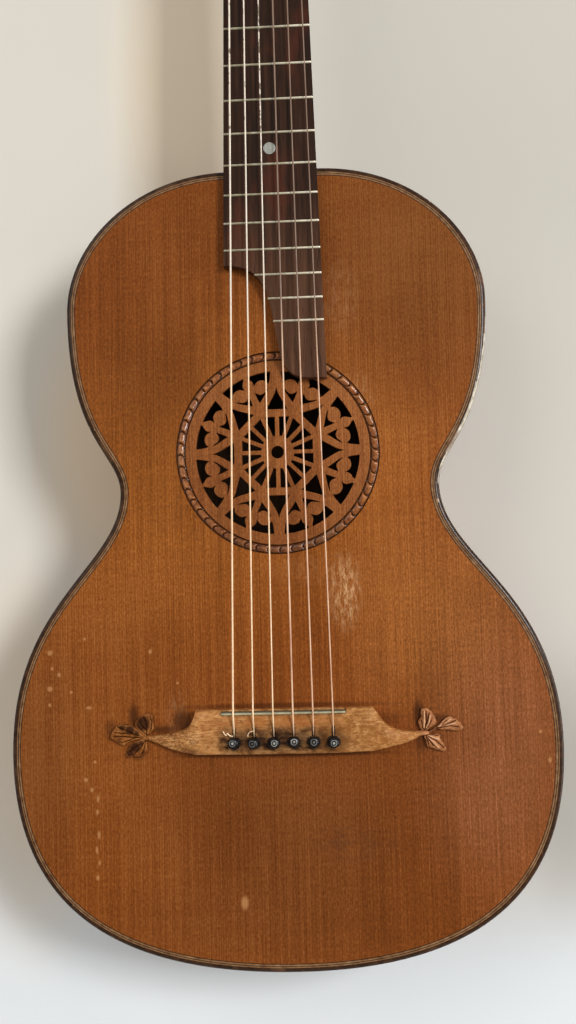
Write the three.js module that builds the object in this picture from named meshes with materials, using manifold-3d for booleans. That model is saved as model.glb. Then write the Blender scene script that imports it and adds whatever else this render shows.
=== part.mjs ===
// Parlor guitar, hanging upright: +Z runs up the neck, the soundboard faces -Y, +X is the treble side.
// Lengths are millimetres. The origin is the centre of the end pin's flat outer face.

import * as THREE from 'three';
import { mergeVertices } from 'three/addons/utils/BufferGeometryUtils.js';
import Module from 'manifold-3d';

const wasm = await Module();
wasm.setup();

// Clearances

const fit = 0.25;          // between separate pieces that are cut to each other
const seam = 0.1;          // between the strips and plates round the edge of the body
const runningFit = 0.3;    // round shafts, pins and the gear train
const overrun = 4;         // how far a cutting tool runs past the face that it cuts
const facet = 0.02;        // thickness that counts as no wall at all when two tools meet

// Scale and strings

const scaleLength = 630;
const compensation = 1.5;  // how far the saddle stands back from the theoretical scale
const fretCount = 18;
const strings = {
  radii: [0.58, 0.5, 0.45, 0.52, 0.45, 0.4],
  spreadAtSaddle: 55.3,
  spreadAtNut: 35.2,
  windingTurns: 2.1,
  stepsPerTurn: 12,
  sides: 5,
  turnGap: 0.5,
  windingStartShares: [0.8, 0.56, 0.3],
};

// Body

const body = {
  length: 457,
  tailDepth: 84,
  neckDepth: 76,
  lowerBoutHalf: 155.5,
  waistHalf: 91.5,
  upperBoutHalf: 121.6,
  neckFlatHalf: 26,
};
const heightShares = {
  lowerBout: 0.27024,
  saddle: 0.3151,
  waist: 0.59081,
  rosette: 0.63611,
  upperBout: 0.82385,
};
const outlineHandleShares = {
  tail: 0.703, lowerIn: 0.635, lowerOut: 0.591, waistIn: 0.288,
  waistOut: 0.213, upperIn: 0.72, upperOut: 0.499, neck: 0.593,
};
const outlineSteps = [11, 8, 6, 8];
const soundboard = { thickness: 2.8 };
const back = { thickness: 2.6 };
const rib = { thickness: 2.2 };
const binding = { width: 3.4 };
const purfling = { width: 4.2 };
const lining = { width: 6, depth: 12 };
const neckBlock = { halfWidth: 31, length: 40 };
const tailBlock = { halfWidth: 27, length: 18 };
const frontBrace = { width: 8, height: 14, endHeight: 5, taper: 45 };
const backBrace = { width: 9, height: 12, endHeight: 4, taper: 50 };
const backBraceShares = [0.2, 0.52, 0.8];
const endPin = {
  headLength: 9,
  headRadius: 6.5,
  faceRadius: 4,
  neckRadius: 3.4,
  shankRadius: 3.9,
  shankLength: 24,
};
const endPinShares = { rimStart: 0.33, rimEnd: 0.5, groove: 0.75 };

// Sound hole and rosette

const rosette = {
  openingRadius: 47.1,
  discRadius: 53.1,
  ropeRadius: 58.4,
  hubRadius: 9.4,
  hubHoleRadius: 3.7,
  spokeWidth: 2.3,
  octagonApothem: 20.4,
  pointCount: 8,
  steps: 44,
};
const ringBacking = { innerRadius: 50, outerRadius: 69, thickness: 2 };

// Fingerboard, nut and frets

const board = {
  nutWidth: 40.8,
  widthAtTwelfth: 53.8,
  thickness: 6.5,
  bassEndAboveSaddle: 254.5,
  bendAboveSaddle: 221,
  trebleEndAboveSaddle: 188,
  footOffset: 21,
  curveSteps: 7,
};
const boardCurveShares = { shoulder: 0.68, drop: 0.72, fall: 0.64, foot: 0.84 };
const fret = { height: 1, footWidth: 2.2, crownWidth: 1.1, sink: 0.4 };
const dot = { radius: 3.5, depth: 1.2, afterFret: 11, sides: 20 };
const nut = { thickness: 5, aboveBoard: 1.9, backSlope: 2.6 };

// Neck and head

const neck = {
  depthAtNut: 15,
  depthAtHeel: 18,
  roundness: 2.3,
  sectionSteps: 10,
  stations: 2,
  tenonHalf: 11,
  tenonLength: 16,
};
const heel = { rootLength: 66, capLength: 17, capHalf: 12, capThickness: 2.6, levels: 6, steps: 10 };
const heelCurve = 2.4;
const head = {
  tiltDegrees: 14,
  length: 164,
  halfWidth: 30,
  thickness: 15,
  veneer: 2,
  shoulder: 19,
  sideTop: 148,
  sunk: 15,
  webHalf: 6,
  slotWidth: 14.6,
  slotStart: 23,
  slotEnd: 137,
  slotSteps: 6,
};
const crownShares = [[1, 0], [0.86, 0.2], [0.66, 0.14], [0.47, 0.34], [0.28, 0.8], [0.12, 0.97], [0, 1]];

// Tuners: a worm on each key turns a gear on each string roller

const tuner = {
  heights: [51, 86, 121],
  teeth: 14,
  wormPitch: 2.4,
  wormPitchRadius: 2.75,
  addendum: 0.65,
  dedendum: 0.8,
  toothWidth: 0.96,
  flankDegrees: 20,
  meshPlay: 0.06,
  gearWidth: 4,
  wormTurns: 2.6,
  wormSteps: 8,
  postRadius: 4,
  tipRadius: 3,
  tipDepth: 3.6,
  postSides: 10,
};
const plate = {
  thickness: 1.2,
  width: 16,
  below: 14,
  above: 10,
  lugThickness: 1.2,
  lugWidth: 7,
  lugEdge: 3,
};
const key = {
  shaftRadius: 1.5,
  endStub: 1,
  buttonGap: 3.5,
  buttonLength: 15,
  buttonHalf: 9,
  buttonThick: 4.4,
  sides: 8,
};
const buttonShares = [[0, 0.42], [0.3, 0.95], [0.66, 1], [0.9, 0.66], [1, 0.25]];

// Bridge

const bridge = {
  height: 8,
  tipHeight: 3.2,
  halfWidth: 49.4,
  stemEnd: 76.2,
  aboveSaddle: 1.6,
  belowSaddle: 23.2,
};
const wingUpperShares = [[0.06, 0.14], [0.2, 0.33], [0.42, 0.465], [0.7, 0.525], [1, 0.56]];
const wingLowerShares = [[1, 0.67], [0.75, 0.765], [0.48, 0.87], [0.2, 0.955]];
const saddle = { thickness: 1.8, halfLength: 34.6, slotDepth: 2.4, aboveBridge: 3 };
const pin = {
  belowSaddle: 16.5,
  headRadius: 3.3,
  headHeight: 3.8,
  topRadius: 2.3,
  endRadius: 1.9,
  beyondPatch: 5,
  sides: 8,
};
const pinHeadShares = [[0.5, 0.92], [0.9, 0.6], [1, 0.3], [0.85, 0]];
const stringSlot = { play: 0.35, reach: 8.4 };
const patch = { halfWidth: 72, thickness: 2.5, above: 12, below: 32 };
const leaf = { thickness: 3, length: 20.8, stemHalf: 1.6, stemLength: 1.6 };
const leafletShares = [
  { long: 0.68, wide: 0.5, degrees: 84 },
  { long: 1, wide: 0.4, degrees: 12 },
  { long: 0.64, wide: 0.46, degrees: -46 },
];
const leafletOutlineShares = [[0, 0.16], [0.2, 0.42], [0.45, 0.86], [0.66, 1], [0.84, 0.78], [0.95, 0.4]];

// Finishes

const finish = {
  spruce: { color: 0xa8672f, roughness: 0.42, metalness: 0 },
  rosetteWood: { color: 0xa9693a, roughness: 0.5, metalness: 0 },
  carvedWood: { color: 0x6a3c22, roughness: 0.35, metalness: 0 },
  maple: { color: 0x8a4a22, roughness: 0.4, metalness: 0 },
  neckWood: { color: 0x4a2a1a, roughness: 0.38, metalness: 0 },
  innerWood: { color: 0xc99a68, roughness: 0.8, metalness: 0 },
  darkEdge: { color: 0x30241c, roughness: 0.5, metalness: 0 },
  paleLine: { color: 0x8f6a44, roughness: 0.5, metalness: 0 },
  ebonised: { color: 0x3a2d27, roughness: 0.45, metalness: 0 },
  bridgeWood: { color: 0xbb8a58, roughness: 0.5, metalness: 0 },
  leafWood: { color: 0x9a6a4c, roughness: 0.5, metalness: 0 },
  bone: { color: 0xd9cfb8, roughness: 0.4, metalness: 0 },
  pearl: { color: 0xd8d2c4, roughness: 0.25, metalness: 0 },
  horn: { color: 0x15110f, roughness: 0.25, metalness: 0 },
  brass: { color: 0xa88a4c, roughness: 0.35, metalness: 0.9 },
  woundString: { color: 0xcfc3a8, roughness: 0.35, metalness: 0.8 },
  plainString: { color: 0xc9b29a, roughness: 0.35, metalness: 0 },
};

// Derived places

const tailZ = endPin.headLength + fit;
const alongBody = (share) => tailZ + share * body.length;
const saddleZ = alongBody(heightShares.saddle);
const jointZ = alongBody(1);
const nutZ = saddleZ + scaleLength - compensation;
const headZ = nutZ + nut.thickness;
const rosetteZ = alongBody(heightShares.rosette);
const pinZ = saddleZ - pin.belowSaddle;
const faceY = -body.tailDepth / 2;
const innerFaceY = faceY + soundboard.thickness;
const throughDepth = [faceY - overrun, body.tailDepth / 2 + overrun];
const boardY = faceY - board.thickness;
const bridgeY = faceY - bridge.height;
const backTaper = (body.tailDepth - body.neckDepth) / body.length;
const backY = (z) => body.tailDepth / 2 - (z - tailZ) * backTaper;
const innerBackY = (z) => backY(z) - back.thickness;
const fittedBackY = (z) => innerBackY(z) - fit;
const innerEdge = rib.thickness + seam;
const braceEdge = innerEdge + lining.width + fit;
const neckBlockEnd = jointZ - innerEdge - neckBlock.length;
const headTilt = THREE.MathUtils.degToRad(head.tiltDegrees);
const slotMiddle = head.webHalf + head.slotWidth / 2;

const fretZ = (n) => nutZ - scaleLength * (1 - 2 ** (-n / 12));
const boardTaper = (board.widthAtTwelfth - board.nutWidth) / scaleLength;
const boardHalf = (z) => board.nutWidth / 2 + (nutZ - z) * boardTaper;

// Turns a share of a circle's turn into radians
const turn = 2 * Math.PI;

// Geometry helpers

function solidOf(geometry) {
  const bare = geometry.clone();
  bare.deleteAttribute('normal');
  bare.deleteAttribute('uv');
  const merged = mergeVertices(bare);
  const corners = merged.index.array;
  const kept = [];
  for (let i = 0; i < corners.length; i += 3) {
    const [a, b, c] = [corners[i], corners[i + 1], corners[i + 2]];
    if (a !== b && b !== c && a !== c) kept.push(a, b, c);
  }
  return new wasm.Manifold(new wasm.Mesh({
    numProp: 3,
    vertProperties: merged.attributes.position.array,
    triVerts: new Uint32Array(kept),
  }));
}

function geometryOf(solid) {
  const mesh = solid.getMesh();
  const indexed = new THREE.BufferGeometry();
  indexed.setAttribute('position', new THREE.BufferAttribute(mesh.vertProperties, mesh.numProp));
  indexed.setIndex(new THREE.BufferAttribute(mesh.triVerts, 1));
  const geometry = indexed.toNonIndexed();
  geometry.computeVertexNormals();
  return geometry;
}

function union(...geometries) {
  return geometryOf(geometries.map(solidOf).reduce((whole, piece) => whole.add(piece)));
}

function cut(geometry, ...tools) {
  return geometryOf(tools.map(solidOf).reduce((whole, tool) => whole.subtract(tool), solidOf(geometry)));
}

function common(geometry, other) {
  return geometryOf(solidOf(geometry).intersect(solidOf(other)));
}

// The faces between rings of points, each ring with as many points as the next
function sideFaces(ringCount, count) {
  const faces = [];
  for (let r = 0; r + 1 < ringCount; r += 1) {
    for (let i = 0; i < count; i += 1) {
      const a = r * count + i;
      const b = r * count + (i + 1) % count;
      faces.push(a, b, b + count, a, b + count, a + count);
    }
  }
  return faces;
}

// A closed skin over rings of points, with a fan from the first corner over each end
function loft(rings) {
  const count = rings[0].length;
  const faces = sideFaces(rings.length, count);
  const last = (rings.length - 1) * count;
  for (let i = 1; i + 1 < count; i += 1) {
    faces.push(0, i + 1, i);
    faces.push(last, last + i, last + i + 1);
  }
  return outward(rings.flat(), faces);
}

// The same over star-shaped rings round a line along X, with a fan from the middle over each end
function loftAroundX(rings) {
  const count = rings[0].length;
  const faces = sideFaces(rings.length, count);
  const middles = [rings[0], rings[rings.length - 1]].map(([corner]) => new THREE.Vector3(corner.x, 0, 0));
  const firstMiddle = rings.length * count;
  const last = firstMiddle - count;
  for (let i = 0; i < count; i += 1) {
    const next = (i + 1) % count;
    faces.push(firstMiddle, next, i);
    faces.push(firstMiddle + 1, last + i, last + next);
  }
  return outward([...rings.flat(), ...middles], faces);
}

function outward(points, faces) {
  let volume = 0;
  for (let i = 0; i < faces.length; i += 3) {
    const [a, b, c] = [points[faces[i]], points[faces[i + 1]], points[faces[i + 2]]];
    volume += a.dot(new THREE.Vector3().crossVectors(b, c));
  }
  const geometry = new THREE.BufferGeometry().setFromPoints(points);
  geometry.setIndex(volume < 0 ? faces.slice().reverse() : faces);
  const flat = geometry.toNonIndexed();
  flat.computeVertexNormals();
  return flat;
}

// A prism with an outline of [x, z] points between a front and a back face given as functions of x and z
function slab(outline, frontAt, backAt, holes = []) {
  const shape = new THREE.Shape(outline.map(([x, z]) => new THREE.Vector2(x, z)));
  shape.holes = holes.map((hole) => new THREE.Path(hole.map(([x, z]) => new THREE.Vector2(x, z))));
  const geometry = new THREE.ExtrudeGeometry(shape, { depth: 1, bevelEnabled: false });
  const place = geometry.attributes.position;
  for (let i = 0; i < place.count; i += 1) {
    const x = place.getX(i);
    const z = place.getY(i);
    place.setXYZ(i, x, THREE.MathUtils.lerp(backAt(x, z), frontAt(x, z), place.getZ(i)), z);
  }
  geometry.computeVertexNormals();
  return geometry;
}

const level = (y) => () => y;
const byHeight = (surface) => (x, z) => surface(z);

function block(x, y, z) {
  const size = [x[1] - x[0], y[1] - y[0], z[1] - z[0]];
  const geometry = new THREE.BoxGeometry(...size);
  geometry.translate((x[0] + x[1]) / 2, (y[0] + y[1]) / 2, (z[0] + z[1]) / 2);
  return geometry;
}

// A cylinder from one value to another along a named axis, through a point given by the other two
function rod(axis, radius, from, to, centre, sides) {
  const geometry = new THREE.CylinderGeometry(radius, radius, to - from, sides);
  geometry.translate(0, (from + to) / 2, 0);
  if (axis === 'x') geometry.rotateZ(-Math.PI / 2);
  if (axis === 'z') geometry.rotateX(Math.PI / 2);
  geometry.translate(...centre);
  return geometry;
}

// A turned piece along Y, from profile points of [radius, y]
function turned(profile, sides) {
  const points = profile.map(([radius, y]) => new THREE.Vector2(radius, y));
  return new THREE.LatheGeometry(points, sides);
}

function arc([x, z], radius, from, to, steps) {
  return Array.from({ length: steps + 1 }, (_, i) => {
    const angle = THREE.MathUtils.lerp(from, to, i / steps);
    return [x + radius * Math.cos(angle), z + radius * Math.sin(angle)];
  });
}

const circle = (centre, radius, steps) => arc(centre, radius, 0, turn, steps).slice(0, -1);
const mirrored = (points) => points.map(([x, z]) => [-x, z]).reverse();

function curve(from, fromHandle, toHandle, to, steps) {
  const corners = [from, fromHandle, toHandle, to].map(([x, z]) => new THREE.Vector2(x, z));
  const bezier = new THREE.CubicBezierCurve(...corners);
  return Array.from({ length: steps + 1 }, (_, i) => ({
    at: bezier.getPoint(i / steps),
    along: bezier.getTangent(i / steps),
  }));
}

// Body outline: four curves from the tail, round both bouts, to the flat where the neck joins

function halfOutline() {
  const share = outlineHandleShares;
  const tail = [0, tailZ];
  const lower = [body.lowerBoutHalf, alongBody(heightShares.lowerBout)];
  const waist = [body.waistHalf, alongBody(heightShares.waist)];
  const upper = [body.upperBoutHalf, alongBody(heightShares.upperBout)];
  const flat = [body.neckFlatHalf, jointZ];
  const above = (point, distance) => [point[0], point[1] + distance];
  const spans = [lower[1] - tail[1], waist[1] - lower[1], upper[1] - waist[1], flat[1] - upper[1]];
  const stretches = [
    curve(tail, [share.tail * lower[0], tail[1]], above(lower, -share.lowerIn * spans[0]), lower,
      outlineSteps[0]),
    curve(lower, above(lower, share.lowerOut * spans[1]), above(waist, -share.waistIn * spans[1]), waist,
      outlineSteps[1]),
    curve(waist, above(waist, share.waistOut * spans[2]), above(upper, -share.upperIn * spans[2]), upper,
      outlineSteps[2]),
    curve(upper, above(upper, share.upperOut * spans[3]),
      [flat[0] + share.neck * (upper[0] - flat[0]), flat[1]], flat, outlineSteps[3]),
  ];
  return stretches.flatMap((stretch, i) => (i === 0 ? stretch : stretch.slice(1)));
}

const outlineStations = halfOutline();

// The right half of the outline from the tail to the neck, moved in by a distance square to the edge
function edge(inset) {
  const points = outlineStations.map(({ at, along }) => [at.x - along.y * inset, at.y + along.x * inset]);
  points[0] = [0, tailZ + inset];
  return [...points, [0, jointZ - inset]];
}

function loop(inset) {
  const right = edge(inset);
  return [...right, ...mirrored(right).slice(1, -1)];
}

// The stretch of a half outline that lies between two distances from the centre line
function clipped(points, low, high) {
  const kept = [];
  for (let i = 0; i + 1 < points.length; i += 1) {
    const [a, b] = [points[i], points[i + 1]];
    const crossings = [low, high].filter((x) => (a[0] - x) * (b[0] - x) < 0);
    const ends = crossings.map((x) => [x, THREE.MathUtils.mapLinear(x, a[0], b[0], a[1], b[1])]);
    ends.sort((p, q) => (p[0] - q[0]) * (b[0] - a[0]));
    if (a[0] >= low && a[0] <= high) kept.push(a);
    kept.push(...ends);
  }
  return kept;
}

function widthAt(z, inset) {
  const points = edge(inset);
  const widths = [];
  for (let i = 0; i + 1 < points.length; i += 1) {
    const [a, b] = [points[i], points[i + 1]];
    if ((a[1] - z) * (b[1] - z) <= 0 && a[1] !== b[1]) {
      widths.push(THREE.MathUtils.mapLinear(z, a[1], b[1], a[0], b[0]));
    }
  }
  return Math.min(...widths);
}

// Plates and edge strips

const openingInPlate = () => circle([0, rosetteZ], rosette.ropeRadius + seam, rosette.steps);

function soundboardPlate() {
  const holes = [openingInPlate(), ...stringPlaces.map(({ saddleX }) => pinHole(saddleX, stringHoleReach))];
  return slab(loop(binding.width + purfling.width + 2 * seam), level(faceY), level(innerFaceY), holes);
}

const edgeStrip = (outer, inner, frontAt, backAt) => slab(loop(outer), frontAt, backAt, [loop(inner)]);

const bindingFront = () => edgeStrip(0, binding.width, level(faceY), level(innerFaceY));
const bindingBack = () => edgeStrip(0, binding.width, byHeight(innerBackY), byHeight(backY));

function purflingFront() {
  const outer = binding.width + seam;
  return edgeStrip(outer, outer + purfling.width, level(faceY), level(innerFaceY));
}

const backPlate = () => slab(loop(binding.width + seam), byHeight(innerBackY), byHeight(backY));

// One rib runs from the end pin round to the neck's tenon
function ribSide(side) {
  const outer = clipped(edge(0), seam, Infinity);
  const inner = clipped(edge(rib.thickness), seam, Infinity).reverse();
  const outline = [...outer, ...inner].map(([x, z]) => [side * x, z]);
  const whole = slab(outline, level(innerFaceY), byHeight(fittedBackY));
  const slot = neck.tenonHalf + fit;
  const high = jointZ + overrun;
  const low = jointZ - rib.thickness - overrun;
  const gap = block([-slot, slot], throughDepth, [low, high]);
  return cut(whole, gap, endPinBore());
}

function endPinBore() {
  const reach = tailZ + rib.thickness + tailBlock.length + overrun;
  return rod('z', endPin.shankRadius + runningFit, -overrun, reach, [0, 0, 0], endPinSides);
}

function liningSide(side, frontAt, backAt) {
  const outer = edge(innerEdge);
  const inner = edge(innerEdge + lining.width);
  const low = tailBlock.halfWidth + lining.width;
  const high = neckBlock.halfWidth + lining.width;
  const middle = outlineSteps[0] + outlineSteps[1];
  const strip = (points) => [
    ...clipped(points.slice(0, middle), low, Infinity),
    ...clipped(points.slice(middle - 1), high, Infinity),
  ];
  const outline = [...strip(outer), ...strip(inner).reverse()];
  return slab(outline.map(([x, z]) => [side * x, z]), frontAt, backAt);
}

const frontLining = (side) => liningSide(side, level(innerFaceY), level(innerFaceY + lining.depth));

function backLining(side) {
  return liningSide(side, byHeight((z) => fittedBackY(z) - lining.depth), byHeight(fittedBackY));
}

function neckBlockSolid() {
  const start = jointZ - neckBlock.length;
  const side = clipped(edge(innerEdge), 0, neckBlock.halfWidth).filter(([, z]) => z > start);
  const foot = [[-neckBlock.halfWidth, neckBlockEnd], [neckBlock.halfWidth, neckBlockEnd]];
  const outline = [...side, ...mirrored(side).slice(1), ...foot];
  const whole = slab(outline, level(innerFaceY), byHeight(fittedBackY));
  const half = neck.tenonHalf + fit;
  const floor = jointZ - neck.tenonLength - fit;
  return cut(whole, block([-half, half], throughDepth, [floor, jointZ + overrun]));
}

function tailBlockSolid() {
  const end = tailZ + tailBlock.length;
  const side = clipped(edge(innerEdge), 0, tailBlock.halfWidth).filter(([, z]) => z < end);
  const top = [[tailBlock.halfWidth, end + innerEdge], [-tailBlock.halfWidth, end + innerEdge]];
  const outline = [...mirrored(side).slice(0, -1), ...side, ...top];
  return cut(slab(outline, level(innerFaceY), byHeight(fittedBackY)), endPinBore());
}

// A ladder brace across the plate: the profile is [x, height], and its ends run down to the lining
function brace(size, z, surfaceAt, direction) {
  const ends = [z - size.width / 2, z + size.width / 2];
  const half = Math.min(...ends.map((end) => widthAt(end, braceEdge)));
  const profile = [
    [-half, 0], [half, 0], [half, size.endHeight], [half - size.taper, size.height],
    [-half + size.taper, size.height], [-half, size.endHeight],
  ];
  const rings = ends.map((end) => profile.map(([x, height]) => (
    new THREE.Vector3(x, surfaceAt(end) + direction * height, end))));
  return loft(rings);
}

function frontBraceAt(z) {
  return brace(frontBrace, z, level(innerFaceY), 1);
}

function bridgePatch() {
  const outline = [
    [-patch.halfWidth, saddleZ - patch.below], [patch.halfWidth, saddleZ - patch.below],
    [patch.halfWidth, saddleZ + patch.above], [-patch.halfWidth, saddleZ + patch.above],
  ];
  const holes = stringPlaces.map(({ saddleX }) => pinHole(saddleX, stringHoleReach));
  return slab(outline, level(innerFaceY), level(innerFaceY + patch.thickness), holes);
}

const endPinSides = 12;

function endPinSolid() {
  const { headLength, headRadius, faceRadius, neckRadius, shankRadius, shankLength } = endPin;
  const { rimStart, rimEnd, groove } = endPinShares;
  return turned([
    [0, 0], [faceRadius, 0], [headRadius, headLength * rimStart], [headRadius, headLength * rimEnd],
    [neckRadius, headLength * groove], [headRadius, headLength], [shankRadius, headLength],
    [shankRadius, shankLength], [0, shankLength],
  ], endPinSides).rotateX(Math.PI / 2);
}

// Rosette: an eight-pointed star of bars round a spoked wheel, with a three-lobed leaf between points.
// Window corners are shares of the opening's radius, along and across a point of the star.

const starWindowShares = [[0.515, 0.138], [0.66, 0.069], [0.805, 0]];
const stemWindowShares = [
  [0.587, 0.206], [0.66, 0.167], [0.715, 0.14], [0.775, 0.112], [0.722, 0.154], [0.704, 0.195],
  [0.715, 0.246],
];
const spandrelArcShares = { from: 0.0092, to: 0.056, steps: 2 };
const spandrelShares = [
  [0.912, 0.328], [0.886, 0.3], [0.857, 0.276], [0.823, 0.256], [0.831, 0.226], [0.852, 0.194],
  [0.859, 0.156], [0.848, 0.12], [0.828, 0.092], [0.85, 0.07], [0.921, 0.062],
];

function rosetteWindows() {
  const radius = rosette.openingRadius;
  const sector = turn / rosette.pointCount;
  const scaled = (shares) => shares.map(([along, across]) => [along * radius, across * radius]);
  const star = scaled(starWindowShares);
  const starWindow = [...star, ...star.slice(0, -1).reverse().map(([a, b]) => [a, -b])];
  const rim = spandrelArcShares;
  const rimArc = arc([0, 0], radius, rim.from * turn, rim.to * turn, rim.steps);
  const spandrel = [...rimArc, ...scaled(spandrelShares)];
  const half = rosette.spokeWidth / 2;
  const hubReach = Math.sqrt(rosette.hubRadius ** 2 - half ** 2);
  const lean = sector / 2;
  const onNextSpoke = (r) => [
    r * Math.cos(lean) + half * Math.sin(lean),
    r * Math.sin(lean) - half * Math.cos(lean),
  ];
  const farReach = (rosette.octagonApothem - half * Math.sin(lean)) / Math.cos(lean);
  const spokeWindow = [
    [hubReach, half], [rosette.octagonApothem, half],
    onNextSpoke(farReach), onNextSpoke(hubReach),
  ];
  const pairs = [spandrel, scaled(stemWindowShares), spokeWindow];
  const both = pairs.flatMap((window) => [window, window.map(([a, b]) => [a, -b])]);
  const windows = [circle([0, rosetteZ], rosette.hubHoleRadius, pin.sides)];
  for (let point = 0; point < rosette.pointCount; point += 1) {
    const [cos, sin] = [Math.cos(point * sector), Math.sin(point * sector)];
    for (const window of [starWindow, ...both]) {
      windows.push(window.map(([a, b]) => [a * cos - b * sin, rosetteZ + a * sin + b * cos]));
    }
  }
  return windows;
}

function rosetteTracery() {
  const outline = circle([0, rosetteZ], rosette.discRadius - seam, rosette.steps);
  const through = [level(faceY - overrun), level(innerFaceY + overrun)];
  const knives = rosetteWindows().map((window) => slab(window, ...through));
  return cut(slab(outline, level(faceY), level(innerFaceY)), ...knives);
}

function ring(outerRadius, innerRadius, frontY, backSideY, steps) {
  return slab(circle([0, rosetteZ], outerRadius, steps), level(frontY), level(backSideY),
    [circle([0, rosetteZ], innerRadius, steps)]);
}

const rosetteRope = () => ring(rosette.ropeRadius, rosette.discRadius, faceY, innerFaceY, rosette.steps);

function rosetteBacking() {
  const { outerRadius, innerRadius, thickness } = ringBacking;
  return ring(outerRadius, innerRadius, innerFaceY, innerFaceY + thickness, rosette.steps / 2);
}

// Strings: places of each string at saddle, nut and roller

const stringCount = strings.radii.length;
const acrossShare = (i) => i / (stringCount - 1) - 1 / 2;
const stringPlaces = strings.radii.map((radius, i) => ({
  radius,
  saddleX: strings.spreadAtSaddle * acrossShare(i),
  nutX: strings.spreadAtNut * acrossShare(i),
  side: i < stringCount / 2 ? -1 : 1,
  height: tuner.heights[Math.min(i, stringCount - 1 - i)],
  startShare: strings.windingStartShares[Math.min(i, stringCount - 1 - i)],
}));

const stringHoleReach = pin.topRadius + runningFit + 2 * Math.max(...strings.radii) + stringSlot.play;

// A pin's hole with a slot towards the saddle for its string
function pinHole(x, reach) {
  const radius = pin.topRadius + fit;
  const half = Math.max(...strings.radii) + stringSlot.play;
  const lean = Math.asin(half / radius);
  const round = arc([x, pinZ], radius, Math.PI / 2 + lean, Math.PI / 2 - lean + turn, pin.sides);
  return [...round, [x + half, pinZ + reach], [x - half, pinZ + reach]];
}

// Fingerboard with its one-sided tongue over the sound hole

function boardOutline() {
  const shares = boardCurveShares;
  const bassZ = saddleZ + board.bassEndAboveSaddle;
  const bendZ = saddleZ + board.bendAboveSaddle;
  const footZ = saddleZ + board.trebleEndAboveSaddle;
  const bassX = -boardHalf(bassZ);
  const shoulder = curve([bassX, bassZ], [bassX * (1 - shares.shoulder), bassZ],
    [bassX * (1 - shares.drop) / 2, bendZ + (bassZ - bendZ) * shares.drop], [0, bendZ], board.curveSteps);
  const footX = board.footOffset * (1 - shares.foot);
  const foot = curve([0, bendZ], [footX, bendZ - (bendZ - footZ) * shares.fall], [footX, footZ],
    [board.footOffset, footZ], board.curveSteps);
  const bend = [...shoulder, ...foot.slice(1)].map(({ at }) => [at.x, at.y]);
  return [...bend, [boardHalf(footZ), footZ], [boardHalf(nutZ), nutZ], [-boardHalf(nutZ), nutZ]];
}

const dotZ = (fretZ(dot.afterFret) + fretZ(dot.afterFret + 1)) / 2;

function fingerboard() {
  const outline = boardOutline();
  const plank = slab(outline, level(boardY), level(faceY));
  const { height, footWidth, crownWidth, sink } = fret;
  const wires = Array.from({ length: fretCount }, (_, i) => {
    const z = fretZ(i + 1);
    const section = (x) => [
      [boardY + sink, -footWidth / 2], [boardY + sink, footWidth / 2], [boardY, footWidth / 2],
      [boardY - height, crownWidth / 2], [boardY - height, -crownWidth / 2], [boardY, -footWidth / 2],
    ].map(([y, across]) => new THREE.Vector3(x, y, z + across));
    return loft([section(-boardHalf(z) - overrun), section(boardHalf(z) + overrun)]);
  });
  const reach = slab(outline, level(boardY - height - overrun), level(boardY + sink + facet));
  const crowned = union(plank, ...wires.map((wire) => common(wire, reach)));
  const seat = rod('y', dot.radius + seam, boardY - overrun, boardY + dot.depth, [0, 0, dotZ], dot.sides);
  return cut(crowned, seat);
}

const positionDot = () => rod('y', dot.radius, boardY, boardY + dot.depth, [0, 0, dotZ], dot.sides);

function nutSolid() {
  const top = boardY - nut.aboveBoard;
  const section = (x) => [
    [faceY, nutZ], [top, nutZ], [top + nut.backSlope, headZ], [faceY, headZ],
  ].map(([y, z]) => new THREE.Vector3(x, y, z));
  return loft([section(-board.nutWidth / 2), section(board.nutWidth / 2)]);
}

// Neck: a rounded shaft, a heel that sweeps back to its cap, a tenon, and the slotted head leaning back

function neckShaft() {
  const from = jointZ + fit;
  const rings = Array.from({ length: neck.stations + 1 }, (_, station) => {
    const z = THREE.MathUtils.lerp(from, headZ, station / neck.stations);
    const half = Math.min(boardHalf(z), boardHalf(from));
    const depth = THREE.MathUtils.mapLinear(z, from, headZ, neck.depthAtHeel, neck.depthAtNut);
    return Array.from({ length: neck.sectionSteps + 1 }, (_, i) => {
      const angle = Math.PI * i / neck.sectionSteps;
      const [cos, sin] = [Math.cos(angle), Math.sin(angle)];
      const across = half * Math.sign(cos) * Math.abs(cos) ** (2 / neck.roundness);
      return new THREE.Vector3(across, faceY + depth * Math.abs(sin) ** (2 / neck.roundness), z);
    });
  });
  return loft(rings);
}

const heelEndY = backY(jointZ) - heel.capThickness;

function heelPlan(share, y) {
  const rise = (1 - share) ** heelCurve;
  const reach = THREE.MathUtils.lerp(heel.capLength, heel.rootLength, rise);
  const half = THREE.MathUtils.lerp(heel.capHalf, boardHalf(jointZ) - fit, (1 - share) ** (heelCurve / 2));
  return Array.from({ length: heel.steps + 1 }, (_, i) => {
    const angle = Math.PI * i / heel.steps;
    return new THREE.Vector3(half * Math.cos(angle), y, jointZ + fit + reach * Math.sin(angle));
  });
}

function heelSolid() {
  const rings = Array.from({ length: heel.levels + 1 }, (_, i) => {
    const share = i / heel.levels;
    return heelPlan(share, THREE.MathUtils.lerp(faceY, heelEndY, share));
  });
  return loft(rings);
}

const heelCap = () => loft([heelPlan(1, heelEndY + fit), heelPlan(1, backY(jointZ))]);

function tenon() {
  const y = [innerFaceY + fit, fittedBackY(jointZ) - fit];
  const z = [jointZ - neck.tenonLength, jointZ + fit + neck.depthAtNut];
  return block([-neck.tenonHalf, neck.tenonHalf], y, z);
}

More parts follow.
